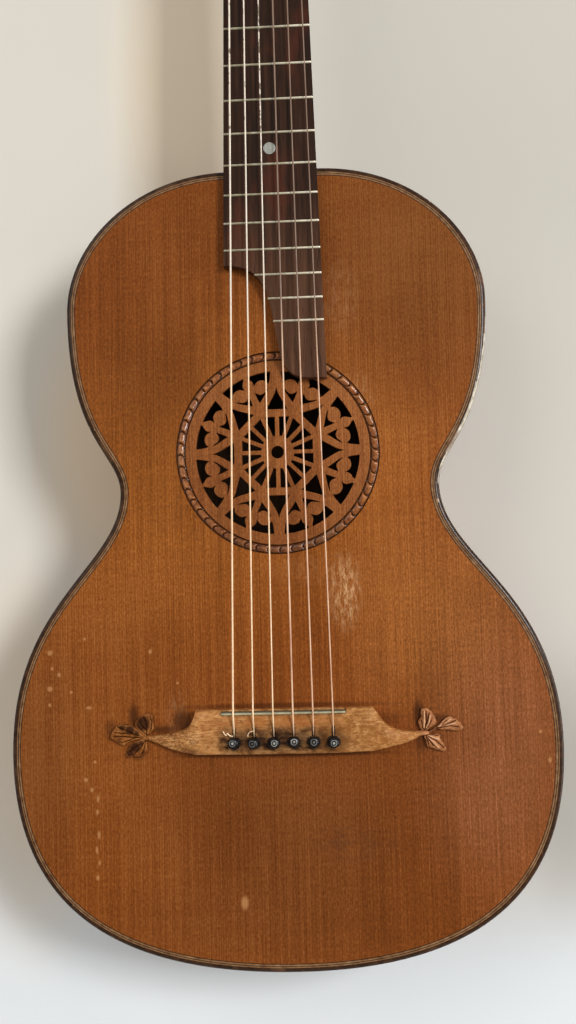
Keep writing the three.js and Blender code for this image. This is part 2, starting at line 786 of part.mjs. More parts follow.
// The head's own frame has its origin at the nut, on the wood's front face, and leans back from the neck
const headFrame = new THREE.Matrix4().compose(
  new THREE.Vector3(0, faceY, headZ),
  new THREE.Quaternion().setFromAxisAngle(new THREE.Vector3(1, 0, 0), -headTilt),
  new THREE.Vector3(1, 1, 1),
);

function headHalfOutline(from) {
  const rise = head.length - head.sideTop;
  const crown = crownShares.map(([across, up]) => [across * head.halfWidth, head.sideTop + up * rise]);
  const start = boardHalf(nutZ) - fit;
  const flare = curve([start, 0], [start, head.shoulder / 2], [head.halfWidth, head.shoulder / 2],
    [head.halfWidth, head.shoulder], heel.steps / 2).map(({ at }) => [at.x, at.y]);
  const foot = from < 0 ? [[start, from]] : [];
  return [...foot, ...flare, ...crown];
}

function headSlots() {
  const radius = head.slotWidth / 2;
  return [-1, 1].map((side) => [
    ...arc([side * slotMiddle, head.slotEnd - radius], radius, 0, Math.PI, head.slotSteps),
    ...arc([side * slotMiddle, head.slotStart + radius], radius, Math.PI, turn, head.slotSteps),
  ]);
}

function headPlank(from, frontY, backSideY) {
  const right = headHalfOutline(from);
  return slab([...right, ...mirrored(right).slice(1)], level(frontY), level(backSideY), headSlots());
}

const rollerY = (head.thickness - head.veneer) / 2;

function rollerBores() {
  const wall = tuner.postRadius + runningFit;
  const tip = tuner.tipRadius + runningFit;
  return [-1, 1].flatMap((side) => tuner.heights.flatMap((height) => {
    const outer = [side * (head.halfWidth + overrun), side * slotMiddle].sort((a, b) => a - b);
    const inner = [side * slotMiddle, side * (head.webHalf - tuner.tipDepth)].sort((a, b) => a - b);
    return [
      rod('x', wall, ...outer, [0, rollerY, height], tuner.postSides),
      rod('x', tip, ...inner, [0, rollerY, height], tuner.postSides),
    ];
  }));
}

function headWood() {
  const bored = cut(headPlank(-head.sunk, 0, head.thickness), ...rollerBores());
  const inPlace = bored.applyMatrix4(headFrame);
  const inFront = [faceY - head.thickness, faceY];
  return cut(inPlace, block([-head.halfWidth, head.halfWidth], inFront, [headZ - 2 * head.sunk, headZ]));
}

const neckSolid = () => union(neckShaft(), heelSolid(), tenon(), headWood());

function headVeneer() {
  return headPlank(0, -head.veneer, -fit);
}

// Tuner train, worked out in the head's own frame

const gearRadius = tuner.teeth * tuner.wormPitch / turn;
const gearTip = gearRadius + tuner.addendum;
const wormTip = tuner.wormPitchRadius + tuner.addendum;
const trainDistance = gearRadius + tuner.wormPitchRadius + tuner.meshPlay;
const plateOuter = head.halfWidth + fit + plate.thickness;
const trainX = plateOuter + runningFit + wormTip;
const wormHalf = tuner.wormPitch * tuner.wormTurns / 2 + tuner.toothWidth;
const lugStart = wormHalf + runningFit;
const flank = Math.tan(THREE.MathUtils.degToRad(tuner.flankDegrees));
const leadTangent = tuner.wormPitch / (turn * tuner.wormPitchRadius);

// A gear of slanted teeth that follow the worm's thread, round X, from the roller's outer end inwards
function gear(side) {
  const rootRadius = gearRadius - tuner.dedendum;
  const halfAt = (radius) => tuner.toothWidth / 2 - (radius - gearRadius) * flank;
  const rings = [-tuner.gearWidth / 2, tuner.gearWidth / 2].map((offset) => {
    const slant = offset * leadTangent / gearRadius;
    const points = [];
    for (let tooth = 0; tooth < tuner.teeth; tooth += 1) {
      const middle = slant + turn * (tooth + 1 / 2) / tuner.teeth;
      for (const [radius, sign] of [[rootRadius, -1], [gearTip, -1], [gearTip, 1], [rootRadius, 1]]) {
        const angle = middle + sign * halfAt(radius) / radius;
        points.push(new THREE.Vector3(
          side * trainX + offset, -radius * Math.sin(angle), radius * Math.cos(angle)));
      }
    }
    return points;
  });
  return loftAroundX(rings);
}

function roller(side, height) {
  const outerEnd = trainX + tuner.gearWidth / 2;
  const tipEnd = head.webHalf - tuner.tipDepth + runningFit;
  const shoulder = head.webHalf + fit;
  const span = (a, b) => [side * a, side * b].sort((p, q) => p - q);
  const part = (radius, from, to) => (
    rod('x', radius, ...span(from, to), [0, 0, 0], tuner.postSides));
  const post = part(tuner.postRadius, shoulder, outerEnd - facet);
  const tip = part(tuner.tipRadius, tipEnd, shoulder + runningFit);
  const stub = part(tuner.tipRadius, outerEnd - facet, outerEnd + key.endStub);
  return union(post, tip, stub, gear(side)).translate(0, rollerY, height);
}

// The worm's thread is a ridge wound round the key's shaft, right-handed
function wormThread() {
  const rootRadius = tuner.wormPitchRadius - tuner.dedendum;
  const halfAt = (radius) => tuner.toothWidth / 2 - (radius - tuner.wormPitchRadius) * flank;
  const steps = tuner.wormTurns * tuner.wormSteps;
  const buried = rootRadius - runningFit;
  const corners = [[buried, -1], [wormTip, -1], [wormTip, 1], [buried, 1]];
  const rings = Array.from({ length: steps + 1 }, (_, i) => {
    const angle = turn * (i / tuner.wormSteps - tuner.wormTurns / 2);
    const along = tuner.wormPitch * angle / turn;
    return corners.map(([radius, sign]) => new THREE.Vector3(
      -radius * Math.sin(angle), along + sign * halfAt(radius), -radius * Math.cos(angle)));
  });
  return loft(rings);
}

function tunerKey(side, height) {
  const woodBack = head.thickness - rollerY;
  const rootRadius = tuner.wormPitchRadius - tuner.dedendum;
  const core = rod('y', rootRadius, -wormHalf, wormHalf, [0, 0, 0], tuner.wormSteps);
  const front = -lugStart - plate.lugThickness - key.endStub;
  const buttonStart = woodBack + key.buttonGap;
  const shaft = rod('y', key.shaftRadius, front, buttonStart + key.buttonLength / 2, [0, 0, 0], key.sides);
  const profile = buttonShares.map(([along, across]) => [across, buttonStart + along * key.buttonLength]);
  const button = turned([[0, profile[0][1]], ...profile, [0, profile[profile.length - 1][1]]], key.sides);
  button.scale(key.buttonThick, 1, key.buttonHalf);
  return union(core, wormThread(), shaft, button).translate(side * trainX, rollerY, height + trainDistance);
}

function tunerPlate(side) {
  const span = (a, b) => [side * a, side * b].sort((p, q) => p - q);
  const low = tuner.heights[0] - plate.below;
  const high = tuner.heights[tuner.heights.length - 1] + trainDistance + plate.above;
  const y = [rollerY - plate.width / 2, rollerY + plate.width / 2];
  const sheet = block(span(head.halfWidth + fit, plateOuter), y, [low, high]);
  const holes = [];
  const lugs = [];
  for (const height of tuner.heights) {
    const z = height + trainDistance;
    for (const direction of [-1, 1]) {
      const near = rollerY + direction * lugStart;
      const lugY = [near, near + direction * plate.lugThickness].sort((a, b) => a - b);
      const lugZ = [z - plate.lugWidth / 2, z + plate.lugWidth / 2];
      lugs.push(block(span(plateOuter - facet, trainX + plate.lugEdge), lugY, lugZ));
    }
    const through = [y[0] - overrun, y[1] + overrun];
    const wall = [side * head.halfWidth - overrun, side * head.halfWidth + overrun];
    holes.push(
      rod('y', key.shaftRadius + runningFit, ...through, [side * trainX, 0, z], key.sides),
      rod('x', tuner.postRadius + runningFit, ...wall, [0, rollerY, height], tuner.postSides),
    );
  }
  return cut(union(sheet, ...lugs), ...holes);
}

// Strings

const crestY = bridgeY - saddle.aboveBridge;
const inHead = (x, y, z) => new THREE.Vector3(x, y, z).applyMatrix4(headFrame);

// A string's middle line: up beside its pin, over the saddle and nut, and round its roller
function stringPath({ radius, saddleX, nutX, side, height, startShare }) {
  const slotZ = pinZ + pin.topRadius + runningFit + radius;
  const rest = radius + seam / 2;
  const nutTop = boardY - nut.aboveBoard;
  const path = [
    new THREE.Vector3(saddleX, innerFaceY + patch.thickness + pin.beyondPatch / 2, slotZ),
    new THREE.Vector3(saddleX, bridgeY + 2 * radius, slotZ),
    new THREE.Vector3(saddleX, crestY - rest, saddleZ - saddle.thickness / 4),
    new THREE.Vector3(saddleX, crestY - rest, saddleZ + saddle.thickness / 4),
    new THREE.Vector3(nutX, nutTop - rest, nutZ),
  ];
  const nutInHead = path[path.length - 1].clone().applyMatrix4(headFrame.clone().invert());
  const reach = tuner.postRadius + runningFit + radius;
  const toNut = [nutInHead.y - rollerY, nutInHead.z - height];
  const distance = Math.hypot(...toNut);
  const lean = Math.atan2(toNut[1], toNut[0]) - Math.acos(reach / distance);
  const pitch = 2 * radius + strings.turnGap;
  const span = pitch * strings.windingTurns;
  const startX = side * (head.webHalf + startShare * head.slotWidth);
  const direction = Math.abs(startX) > slotMiddle ? -side : side;
  const steps = Math.round(strings.windingTurns * strings.stepsPerTurn);
  for (let i = 0; i <= steps; i += 1) {
    const angle = lean - turn * i / strings.stepsPerTurn;
    const x = startX + direction * span * i / steps;
    path.push(inHead(x, rollerY + reach * Math.cos(angle), height + reach * Math.sin(angle)));
  }
  return path;
}

// A round cord along points, its section carried without twist, mitred at each bend, with flat ends
function cord(path, radius, sides) {
  const directions = path.slice(1).map((point, i) => point.clone().sub(path[i]).normalize());
  let across = new THREE.Vector3(1, 0, 0);
  const rings = path.map((point, i) => {
    const before = directions[Math.max(i - 1, 0)];
    const after = directions[Math.min(i, directions.length - 1)];
    const plane = before.clone().add(after).normalize();
    across = across.clone().addScaledVector(before, -across.dot(before)).normalize();
    const other = new THREE.Vector3().crossVectors(before, across);
    return Array.from({ length: sides }, (_, side) => {
      const angle = turn * side / sides;
      const offset = across.clone().multiplyScalar(radius * Math.cos(angle))
        .addScaledVector(other, radius * Math.sin(angle));
      return point.clone().add(offset).addScaledVector(before, -offset.dot(plane) / before.dot(plane));
    });
  });
  return loft(rings);
}

// The least gap between a winding's turns, measured on the middle line's points
const nearTurnShare = 0.66;

function leastGap(path, radius) {
  const winding = path.slice(-Math.round(strings.windingTurns * strings.stepsPerTurn) - 1);
  const near = Math.floor(strings.stepsPerTurn * nearTurnShare);
  let least = Infinity;
  winding.forEach((point, i) => {
    for (const other of winding.slice(i + near)) least = Math.min(least, point.distanceTo(other));
  });
  return least - 2 * radius;
}

// Bridge

function bridgeSolid() {
  const top = saddleZ + bridge.aboveSaddle;
  const bottom = saddleZ - bridge.belowSaddle;
  const wing = bridge.stemEnd - bridge.halfWidth;
  const place = ([out, down]) => [bridge.halfWidth + out * wing, top + down * (bottom - top)];
  const centre = [
    [-bridge.halfWidth, bottom], [bridge.halfWidth, bottom],
    [bridge.halfWidth, top], [-bridge.halfWidth, top],
  ];
  const fall = (bridge.height - bridge.tipHeight) / wing;
  const wingFront = (x) => bridgeY + (Math.abs(x) - bridge.halfWidth) * fall;
  const rightWing = [
    [bridge.halfWidth, bottom], ...wingLowerShares.map(place).reverse(),
    ...wingUpperShares.map(place).reverse(), [bridge.halfWidth, top],
  ];
  const holes = stringPlaces.map(({ saddleX }) => pinHole(saddleX, stringSlot.reach));
  const middle = slab(centre, level(bridgeY), level(faceY), holes);
  const wings = [rightWing, mirrored(rightWing)].map((outline) => slab(outline, wingFront, level(faceY)));
  const half = saddle.halfLength + fit;
  const slot = block([-half, half], [bridgeY - overrun, bridgeY + saddle.slotDepth],
    [saddleZ - saddle.thickness / 2 - fit, saddleZ + saddle.thickness / 2 + fit]);
  return cut(union(middle, ...wings), slot);
}

function saddleSolid() {
  const half = saddle.thickness / 2;
  const foot = bridgeY + saddle.slotDepth;
  const section = (x) => [
    [foot, -half], [foot, half], [crestY + half / 2, half], [crestY, half / 2], [crestY, -half / 2],
    [crestY + half / 2, -half],
  ].map(([y, z]) => new THREE.Vector3(x, y, saddleZ + z));
  return loft([section(-saddle.halfLength), section(saddle.halfLength)]);
}

function bridgePin(x) {
  const seat = bridgeY - seam;
  const end = innerFaceY + patch.thickness + pin.beyondPatch;
  const headProfile = pinHeadShares.map(([out, up]) => [out * pin.headRadius, seat - up * pin.headHeight]);
  return turned([
    [0, seat - pin.headHeight], ...headProfile, [pin.topRadius, seat], [pin.endRadius, end], [0, end],
  ], pin.sides).translate(x, 0, pinZ);
}

function leafSolid(side) {
  const wing = bridge.stemEnd + fit;
  const top = saddleZ + bridge.aboveSaddle;
  const depth = bridge.aboveSaddle + bridge.belowSaddle;
  const leafletOutline = ({ long, wide, degrees }) => {
    const length = long * leaf.length;
    const width = wide * leaf.length;
    const along = THREE.MathUtils.degToRad(degrees);
    const half = leafletOutlineShares.map(([share, across]) => [share * length, across * width / 2]);
    const whole = [...half, [length, 0], ...half.slice().reverse().map(([a, b]) => [a, -b])];
    return whole.map(([a, b]) => [
      a * Math.cos(along) - b * Math.sin(along),
      a * Math.sin(along) + b * Math.cos(along),
    ]);
  };
  const { stemHalf, stemLength } = leaf;
  const stem = [[-stemLength, -stemHalf], [0, -stemHalf], [0, stemHalf], [-stemLength, stemHalf]];
  const outlines = [stem, ...leafletShares.map(leafletOutline)];
  const stemShare = (wingUpperShares[wingUpperShares.length - 1][1] + wingLowerShares[0][1]) / 2;
  const centre = [wing + stemLength, top - depth * stemShare];
  const pieces = outlines.map((outline) => {
    const placed = outline.map(([x, z]) => [side * (centre[0] + x), centre[1] + z]);
    return slab(side < 0 ? placed.reverse() : placed, level(faceY - leaf.thickness), level(faceY));
  });
  return union(...pieces);
}

// Assembly

const guitar = new THREE.Group();
const headGroup = new THREE.Group();
headGroup.applyMatrix4(headFrame);
guitar.add(headGroup);

function addTo(group, name, geometry, look) {
  const mesh = new THREE.Mesh(geometry, new THREE.MeshStandardMaterial(finish[look]));
  mesh.name = name;
  group.add(mesh);
}

const add = (name, geometry, look) => addTo(guitar, name, geometry, look);

add('soundboard', soundboardPlate(), 'spruce');
add('rosette_tracery', rosetteTracery(), 'rosetteWood');
add('rosette_rope', rosetteRope(), 'carvedWood');
add('rosette_backing', rosetteBacking(), 'innerWood');
add('back', backPlate(), 'maple');
add('binding_front', bindingFront(), 'darkEdge');
add('binding_back', bindingBack(), 'darkEdge');
add('purfling_front', purflingFront(), 'paleLine');
for (const [name, side] of [['bass', -1], ['treble', 1]]) {
  add(`rib_${name}`, ribSide(side), 'maple');
  add(`lining_front_${name}`, frontLining(side), 'innerWood');
  add(`lining_back_${name}`, backLining(side), 'innerWood');
  add(`leaf_${name}`, leafSolid(side), 'leafWood');
  addTo(headGroup, `tuner_plate_${name}`, tunerPlate(side), 'brass');
}
add('neck_block', neckBlockSolid(), 'innerWood');
add('tail_block', tailBlockSolid(), 'innerWood');

const ringReach = ringBacking.outerRadius + frontBrace.width / 2 + fit;
const frontBraceHeights = [
  (rosetteZ + ringBacking.outerRadius + neckBlockEnd) / 2,
  rosetteZ - ringReach,
  saddleZ - patch.below - 2 * frontBrace.width,
];
frontBraceHeights.forEach((z, i) => add(`front_brace_${i + 1}`, frontBraceAt(z), 'innerWood'));
backBraceShares.forEach((share, i) => {
  const z = alongBody(share);
  add(`back_brace_${i + 1}`, brace(backBrace, z, fittedBackY, -1), 'innerWood');
});
add('bridge_patch', bridgePatch(), 'innerWood');
add('end_pin', endPinSolid(), 'horn');

add('neck', neckSolid(), 'neckWood');
add('heel_cap', heelCap(), 'darkEdge');
addTo(headGroup, 'head_veneer', headVeneer(), 'ebonised');
add('fingerboard', fingerboard(), 'ebonised');
add('position_dot', positionDot(), 'pearl');
add('nut', nutSolid(), 'bone');
add('bridge', bridgeSolid(), 'bridgeWood');
add('saddle', saddleSolid(), 'bone');

stringPlaces.forEach((place, i) => {
  const number = stringCount - i;
  const path = stringPath(place);
  const look = i < stringCount / 2 ? 'woundString' : 'plainString';
  add(`string_${number}`, cord(path, place.radius, strings.sides), look);
  add(`bridge_pin_${number}`, bridgePin(place.saddleX), 'horn');
  addTo(headGroup, `tuner_key_${number}`, tunerKey(place.side, place.height), 'brass');
  addTo(headGroup, `tuner_roller_${number}`, roller(place.side, place.height), 'brass');
  console.log(`string_${number}: least gap between turns ${leastGap(path, place.radius).toFixed(2)} mm`);
});

export default guitar;
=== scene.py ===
import math
import random

import bmesh
import bpy
import numpy as np
from mathutils import Matrix, Vector
from mathutils.geometry import delaunay_2d_cdt


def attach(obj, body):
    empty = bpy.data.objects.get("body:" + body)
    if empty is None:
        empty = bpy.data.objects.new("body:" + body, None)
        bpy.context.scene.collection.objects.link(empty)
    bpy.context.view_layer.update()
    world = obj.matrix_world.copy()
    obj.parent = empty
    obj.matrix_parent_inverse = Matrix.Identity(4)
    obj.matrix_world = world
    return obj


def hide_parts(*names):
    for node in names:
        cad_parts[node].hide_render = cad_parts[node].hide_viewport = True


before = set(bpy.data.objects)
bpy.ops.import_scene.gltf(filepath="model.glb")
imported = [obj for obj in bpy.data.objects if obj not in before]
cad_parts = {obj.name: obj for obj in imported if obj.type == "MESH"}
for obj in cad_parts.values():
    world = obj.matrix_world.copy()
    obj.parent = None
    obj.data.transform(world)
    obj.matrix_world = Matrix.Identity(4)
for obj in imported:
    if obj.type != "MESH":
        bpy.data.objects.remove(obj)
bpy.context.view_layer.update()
scene = bpy.context.scene

# Lengths are millimetres in the part's own frame, and become metres when a mesh is made.
# -X is the bass side, +X the treble side, +Z runs up the neck and the soundboard faces -Y.
MM = 0.001

# Sizes, as in the part's source

SCALE = 630
TAIL_Z = 9.25
BODY_LENGTH = 457.0
TAIL_DEPTH = 84.0
NECK_DEPTH = 76.0
SHARES = dict(lower=0.27024, saddle=0.3151, waist=0.59081, rosette=0.63611, upper=0.82385)
LOWER, WAIST, UPPER, FLAT = 155.5, 91.5, 121.6, 26.0
HANDLES = dict(tail=0.703, lower_in=0.635, lower_out=0.591, waist_in=0.288,
               waist_out=0.213, upper_in=0.72, upper_out=0.499, neck=0.593)


def along(share):
    return TAIL_Z + share * BODY_LENGTH


SADDLE_Z = along(SHARES["saddle"])
ROSETTE_Z = along(SHARES["rosette"])
JOINT_Z = along(1)
NUT_Z = SADDLE_Z + SCALE - 1.5
HEAD_Z = NUT_Z + 5
PIN_Z = SADDLE_Z - 16.5
FACE = -TAIL_DEPTH / 2
TOP_THICK = 2.8
INNER_FACE = FACE + TOP_THICK
BOARD = FACE - 6.5
NUT_TOP = BOARD - 1.9
BRIDGE = FACE - 8
CREST = BRIDGE - 3
TILT = math.radians(14)
NUT_WIDTH = 40.8
BOARD_TAPER = (53.8 - NUT_WIDTH) / SCALE
BRIDGE_SPREAD, NUT_SPREAD = 55.3, 35.2
# The strings from the bass side: their radii, and for each pair from outside in, how far up the head their
# rollers sit and where on a roller the turns start.
RADII = [0.58, 0.5, 0.45, 0.52, 0.45, 0.4]
HEIGHTS = [51, 86, 121]
START_SHARES = [0.8, 0.56, 0.3]
# The head: half its width, its wood's thickness, where a slot and the rollers lie in it, and the plates on its edges.
HEAD_HALF, HEAD_THICK, SLOT_X, ROLLER_V = 30, 15, 13.3, 6.5
PLATE_GAP, PLATE_THICK = 0.25, 1.2
# The worm and its gear: radius of the worm, teeth, distance from tooth to tooth and the flanks' slope.
WORM_RADIUS, TEETH, PITCH, FLANK = 2.75, 14, 2.4, math.tan(math.radians(20))
GEAR_RADIUS = TEETH * PITCH / (2 * math.pi)
TRAIN = GEAR_RADIUS + WORM_RADIUS + 0.06
KEY_X = HEAD_HALF + PLATE_GAP + PLATE_THICK + 0.3 + WORM_RADIUS + 0.65


def back_y(z):
    return TAIL_DEPTH / 2 - (z - TAIL_Z) * (TAIL_DEPTH - NECK_DEPTH) / BODY_LENGTH


def board_half(z):
    return NUT_WIDTH / 2 + (NUT_Z - z) * BOARD_TAPER


def string_places(spread):
    return [spread * (i / 5 - 0.5) for i in range(6)]


def fret_z(n):
    return NUT_Z - SCALE * (1 - 2 ** (-n / 12))


def head_point(x, v, w):
    """A point in the head's own frame: x across, v back from the wood's front, w up from the nut."""
    return (x, FACE + v * math.cos(TILT) + w * math.sin(TILT), HEAD_Z - v * math.sin(TILT) + w * math.cos(TILT))


# Materials

THIRDS = (0.3, 0.5, 0.7)
SOCKETS = dict(rough="Roughness", metal="Metallic", spec="Specular IOR Level", coat="Coat Weight",
               coat_rough="Coat Roughness")


def rgb(text):
    parts = [int(text[i:i + 2], 16) / 255 for i in (0, 2, 4)]
    return tuple(c / 12.92 if c <= 0.04045 else ((c + 0.055) / 1.055) ** 2.4 for c in parts) + (1,)


class Shade:
    """A Principled material built from a few procedural pieces, all in object coordinates."""

    def __init__(self, name, **values):
        self.mat = bpy.data.materials.new(name)
        self.mat.use_nodes = True
        self.tree = self.mat.node_tree
        self.bsdf = next(n for n in self.tree.nodes if n.type == "BSDF_PRINCIPLED")
        for key, value in values.items():
            self.bsdf.inputs[SOCKETS[key]].default_value = value
        self.point = self.tree.nodes.new("ShaderNodeTexCoord").outputs["Object"]

    def put(self, socket, value):
        if isinstance(value, bpy.types.NodeSocket):
            self.tree.links.new(value, socket)
        else:
            socket.default_value = value

    def node(self, kind, inputs=(), **props):
        """A new node with its properties, and with a value or another node's socket on each named input."""
        made = self.tree.nodes.new(kind)
        for key, value in props.items():
            setattr(made, key, value)
        for key, value in dict(inputs).items():
            self.put(made.inputs[key], value)
        return made

    def place(self, scale, offset=(0, 0, 0), turn=(0, 0, 0), vector=None):
        inputs = {"Vector": vector or self.point, "Scale": scale, "Location": offset, "Rotation": turn}
        return self.node("ShaderNodeMapping", inputs).outputs[0]

    def noise(self, scale, detail=3.0, rough=0.5, distortion=0.0, **place):
        """Noise with its own scale along each axis."""
        inputs = {"Vector": self.place(scale, **place), "Scale": 1, "Detail": detail, "Roughness": rough,
                  "Distortion": distortion}
        return self.node("ShaderNodeTexNoise", inputs).outputs[0]

    def calc(self, operation, a, b):
        return self.node("ShaderNodeMath", {0: a, 1: b}, operation=operation).outputs[0]

    def times(self, product, *others):
        for other in others:
            product = self.calc("MULTIPLY", product, other)
        return product

    def blend(self, first, *others):
        """The sum of (value, weight) pairs."""
        total = self.times(*first)
        for pair in others:
            total = self.calc("ADD", total, self.times(*pair))
        return total

    def span(self, value, low, high, to_low=0.0, to_high=1.0):
        """A smooth step from one range to another."""
        inputs = {"Value": value, "From Min": low, "From Max": high, "To Min": to_low, "To Max": to_high}
        return self.node("ShaderNodeMapRange", inputs, interpolation_type="SMOOTHSTEP").outputs[0]

    def ramp(self, value, positions, *colours):
        n = self.node("ShaderNodeValToRGB", {0: value})
        band = n.color_ramp.elements
        while len(band) < len(colours):
            band.new(0.5)
        for element, position, colour in zip(band, positions, colours):
            element.position = position
            element.color = rgb(colour)
        return n.outputs[0]

    def mix(self, factor, a, b, mode="MIX"):
        a, b = (rgb(c) if isinstance(c, str) else c for c in (a, b))
        return self.node("ShaderNodeMix", {0: factor, 6: a, 7: b}, data_type="RGBA", blend_type=mode).outputs[2]

    def tint(self, paint, colour, *factors):
        """The paint, with a colour over it by the product of some factors."""
        return self.mix(self.times(*factors), paint, colour)

    def blob(self, centre, radii, soft=0.5):
        """1 inside an ellipsoid at a place in millimetres, fading to 0 round it."""
        scale = [1 / (r * MM) for r in radii]
        offset = [-c * MM * s for c, s in zip(centre, scale)]
        n = self.node("ShaderNodeVectorMath", {0: self.place(scale, offset)}, operation="LENGTH")
        return self.span(n.outputs["Value"], 1 - soft, 1 + soft, 1, 0)

    def patch(self, paint, colour, spot, deep, soft, *factors, y=None):
        """A tint inside a blob on a surface: spot is across, up, half width and half height."""
        x, z, wide, high = spot
        near = self.blob((x, FACE if y is None else y, z), (wide, deep, high), soft)
        return self.tint(paint, colour, near, *factors)

    def axis(self, name):
        return self.node("ShaderNodeSeparateXYZ", {0: self.point}).outputs["XYZ".index(name)]

    def bump(self, height, depth_mm, strength):
        normal = self.bsdf.inputs["Normal"]
        inputs = {"Strength": strength, "Distance": depth_mm * MM, "Height": height}
        if normal.links:
            inputs["Normal"] = normal.links[0].from_socket
        self.put(normal, self.node("ShaderNodeBump", inputs).outputs[0])

    def finish(self, paint, rough=None, *bumps):
        """Sets the colour, the roughness and each bump of (height, depth, strength). Returns the material."""
        self.put(self.bsdf.inputs["Base Color"], paint)
        if rough is not None:
            self.put(self.bsdf.inputs["Roughness"], rough)
        for bump in bumps:
            self.bump(*bump)
        return self.mat


def spruce(name, dark, mid, light, worn=True):
    """Quartered spruce under an amber lacquer: fine lines up the plate, soft bands, flecks and wear, and on the
    soundboard painted shade and a painted sheen.
    """
    s = Shade(name, spec=0.07, coat=0.05, coat_rough=0.25)
    parts = s.node("ShaderNodeSeparateXYZ", {0: s.point}).outputs
    across = s.calc("ADD", parts[0], s.times(s.noise((4, 1, 3), 1), 0.004))
    warped = s.node("ShaderNodeCombineXYZ", {0: across, 1: 0.0, 2: parts[2]}).outputs[0]
    lines = s.noise((950, 1, 9), 2, 0.6, vector=warped)
    bands = s.noise((85, 1, 1.6), 3, 0.6, offset=(3, 0, 0), vector=warped)
    flecks = s.noise((2600, 300, 190), 2, 0.6)
    silk = s.noise((40, 10, 260), 3, 0.6, offset=(0, 0, 5))
    clouds = s.noise((9, 9, 6), 4, 0.55, offset=(1, 2, 4))
    speckle = s.noise((1000, 1, 520), 3, 0.7, offset=(0, 3, 1))
    tone = s.blend((lines, 0.25), (bands, 0.07), (clouds, 0.3), (speckle, 0.41), (flecks, 0.1), (silk, 0.06))
    paint = s.ramp(tone, (0.48, 0.6, 0.72), dark, mid, light)
    pitch = s.node("ShaderNodeTexWave", {"Vector": warped, "Scale": 230, "Distortion": 1.5, "Detail": 2},
                   bands_direction="X").outputs["Fac"]
    paint = s.tint(paint, dark, s.span(pitch, 0.62, 0.95, 0, 0.3))
    if worn:
        # Broad patches: partly the lacquer's own tone, partly painted light and shade and a painted sheen.
        base = mid
        for *spot, strength, colour in TONE_AND_LIGHT_PATCHES:
            base = s.patch(base, colour, spot, 60, 0.8, strength)
        paint = s.mix(1.0, s.mix(1.0, paint, mid, "DIVIDE"), base, "MULTIPLY")
        scratches = s.span(s.noise((420, 1, 130), 6, 0.8), 0.42, 0.7)
        broken = s.span(s.noise((90, 1, 130), 4, 0.7), 0.4, 0.65)
        for *spot, strength in SCUFFS:
            paint = s.patch(paint, "d8a878", spot, 20, 0.5, scratches, strength)
        for *spot, strength in SMUDGES:
            paint = s.patch(paint, "54311c", spot, 20, 0.7, broken, strength)
        # Painted shade with some dirt, beside the leaves and along the bridge's edges.
        for *spot, strength in CORNER_SHADE_AND_DIRT:
            paint = s.patch(paint, "3a1c0a", spot, 9, 0.6, strength)
        for spot in DENTS:
            paint = s.patch(paint, "c8905c", spot, 20, 0.5, 0.52)
    return s.finish(paint, s.span(clouds, 0.3, 0.7, 0.36, 0.52), (lines, 0.05, 0.55), (clouds, 0.5, 0.25))


# Places on the soundboard: across, up, half width, half height, strength.
# Broad changes of colour, each with its own: partly the old lacquer's tone and partly painted light and shade, warmer
# and lighter at the waist, darker at the upper bout, and a pale pinkish painted sheen low on the treble side.
TONE_AND_LIGHT_PATCHES = [
    (-30, 290, 90, 70, 0.45, "b46c2b"), (5, 85, 80, 50, 0.85, "6c3813"), (85, 405, 60, 70, 0.8, "67360f"),
    (40, 430, 40, 40, 0.35, "703a12"), (-62, 352, 30, 45, 0.55, "6c3811"), (40, 388, 30, 40, 0.2, "703a12"),
    (-100, 160, 50, 60, 0.22, "703c16"), (85, 205, 40, 42, 0.6, "b46e34"), (0, 30, 110, 24, 0.3, "6a3a18"),
    (0, 430, 120, 34, 0.42, "703c14"), (122, 130, 36, 70, 0.45, "9c6240"), (-140, 110, 22, 80, 0.45, "6c3c18"),
]
SCUFFS = [(36, 219, 8, 18, 0.95), (38, 388, 10, 20, 0.18), (46, 330, 9, 14, 0.25), (-60, 148, 6, 16, 0.25),
          (20, 232, 26, 8, 0.14)]
SMUDGES = [(38, 79, 22, 9, 0.5), (52, 160, 12, 30, 0.18), (-52, 262, 16, 24, 0.22), (0, 128, 70, 9, 0.2)]
# Painted shade, with some old dirt, in the corners beside the leaves and above and below the bridge.
CORNER_SHADE_AND_DIRT = [
    (75.2, 150, 2.6, 7.5, 0.8), (88, 147.5, 6, 2.2, 0.5), (76.5, 134.5, 3, 4.5, 0.55), (-85.4, 152, 2.6, 6.5, 0.75),
    (-98.5, 144.5, 3, 5, 0.5), (-83, 131.5, 3, 4, 0.6), (-57.6, 148.5, 5, 6, 0.75), (-68, 143.8, 7, 2.2, 0.7),
    (58, 147.5, 7, 3, 0.35), (0, 156.2, 52, 1.5, 0.6), (0, 128.9, 56, 1.1, 0.6),
]
# Small pale dents and chips of the lacquer, all of one strength.
DENTS = [
    (-133.1, 188.5, 1.4, 1.4), (-132, 179.5, 0.8, 1), (-133.3, 168.1, 1.5, 1.4), (-128, 176, 1, 1.2),
    (-133.5, 159, 0.8, 1), (-113, 196, 0.8, 0.8), (-111, 157, 1.5, 0.9), (-107.9, 126.6, 0.8, 0.9),
    (-113.2, 116.7, 1.1, 1.1), (-109.8, 111, 1, 1.2), (-106.4, 106, 0.7, 1.8), (-106.8, 98.7, 0.7, 1.5),
    (-106.1, 86, 0.8, 2.1), (-107.4, 77.7, 0.7, 1.8), (-106, 70.5, 0.7, 1.2), (-107, 62.3, 0.9, 1.4),
    (-75.4, 188, 1, 1.2), (-121, 166, 0.8, 0.8), (-24.4, 47.6, 1.9, 3.4), (147.1, 123.3, 0.9, 1.6),
    (142.5, 139, 0.7, 1), (-123.5, 361, 1.2, 1.2), (-117, 352, 0.7, 0.7), (-60, 170, 0.7, 0.8),
]


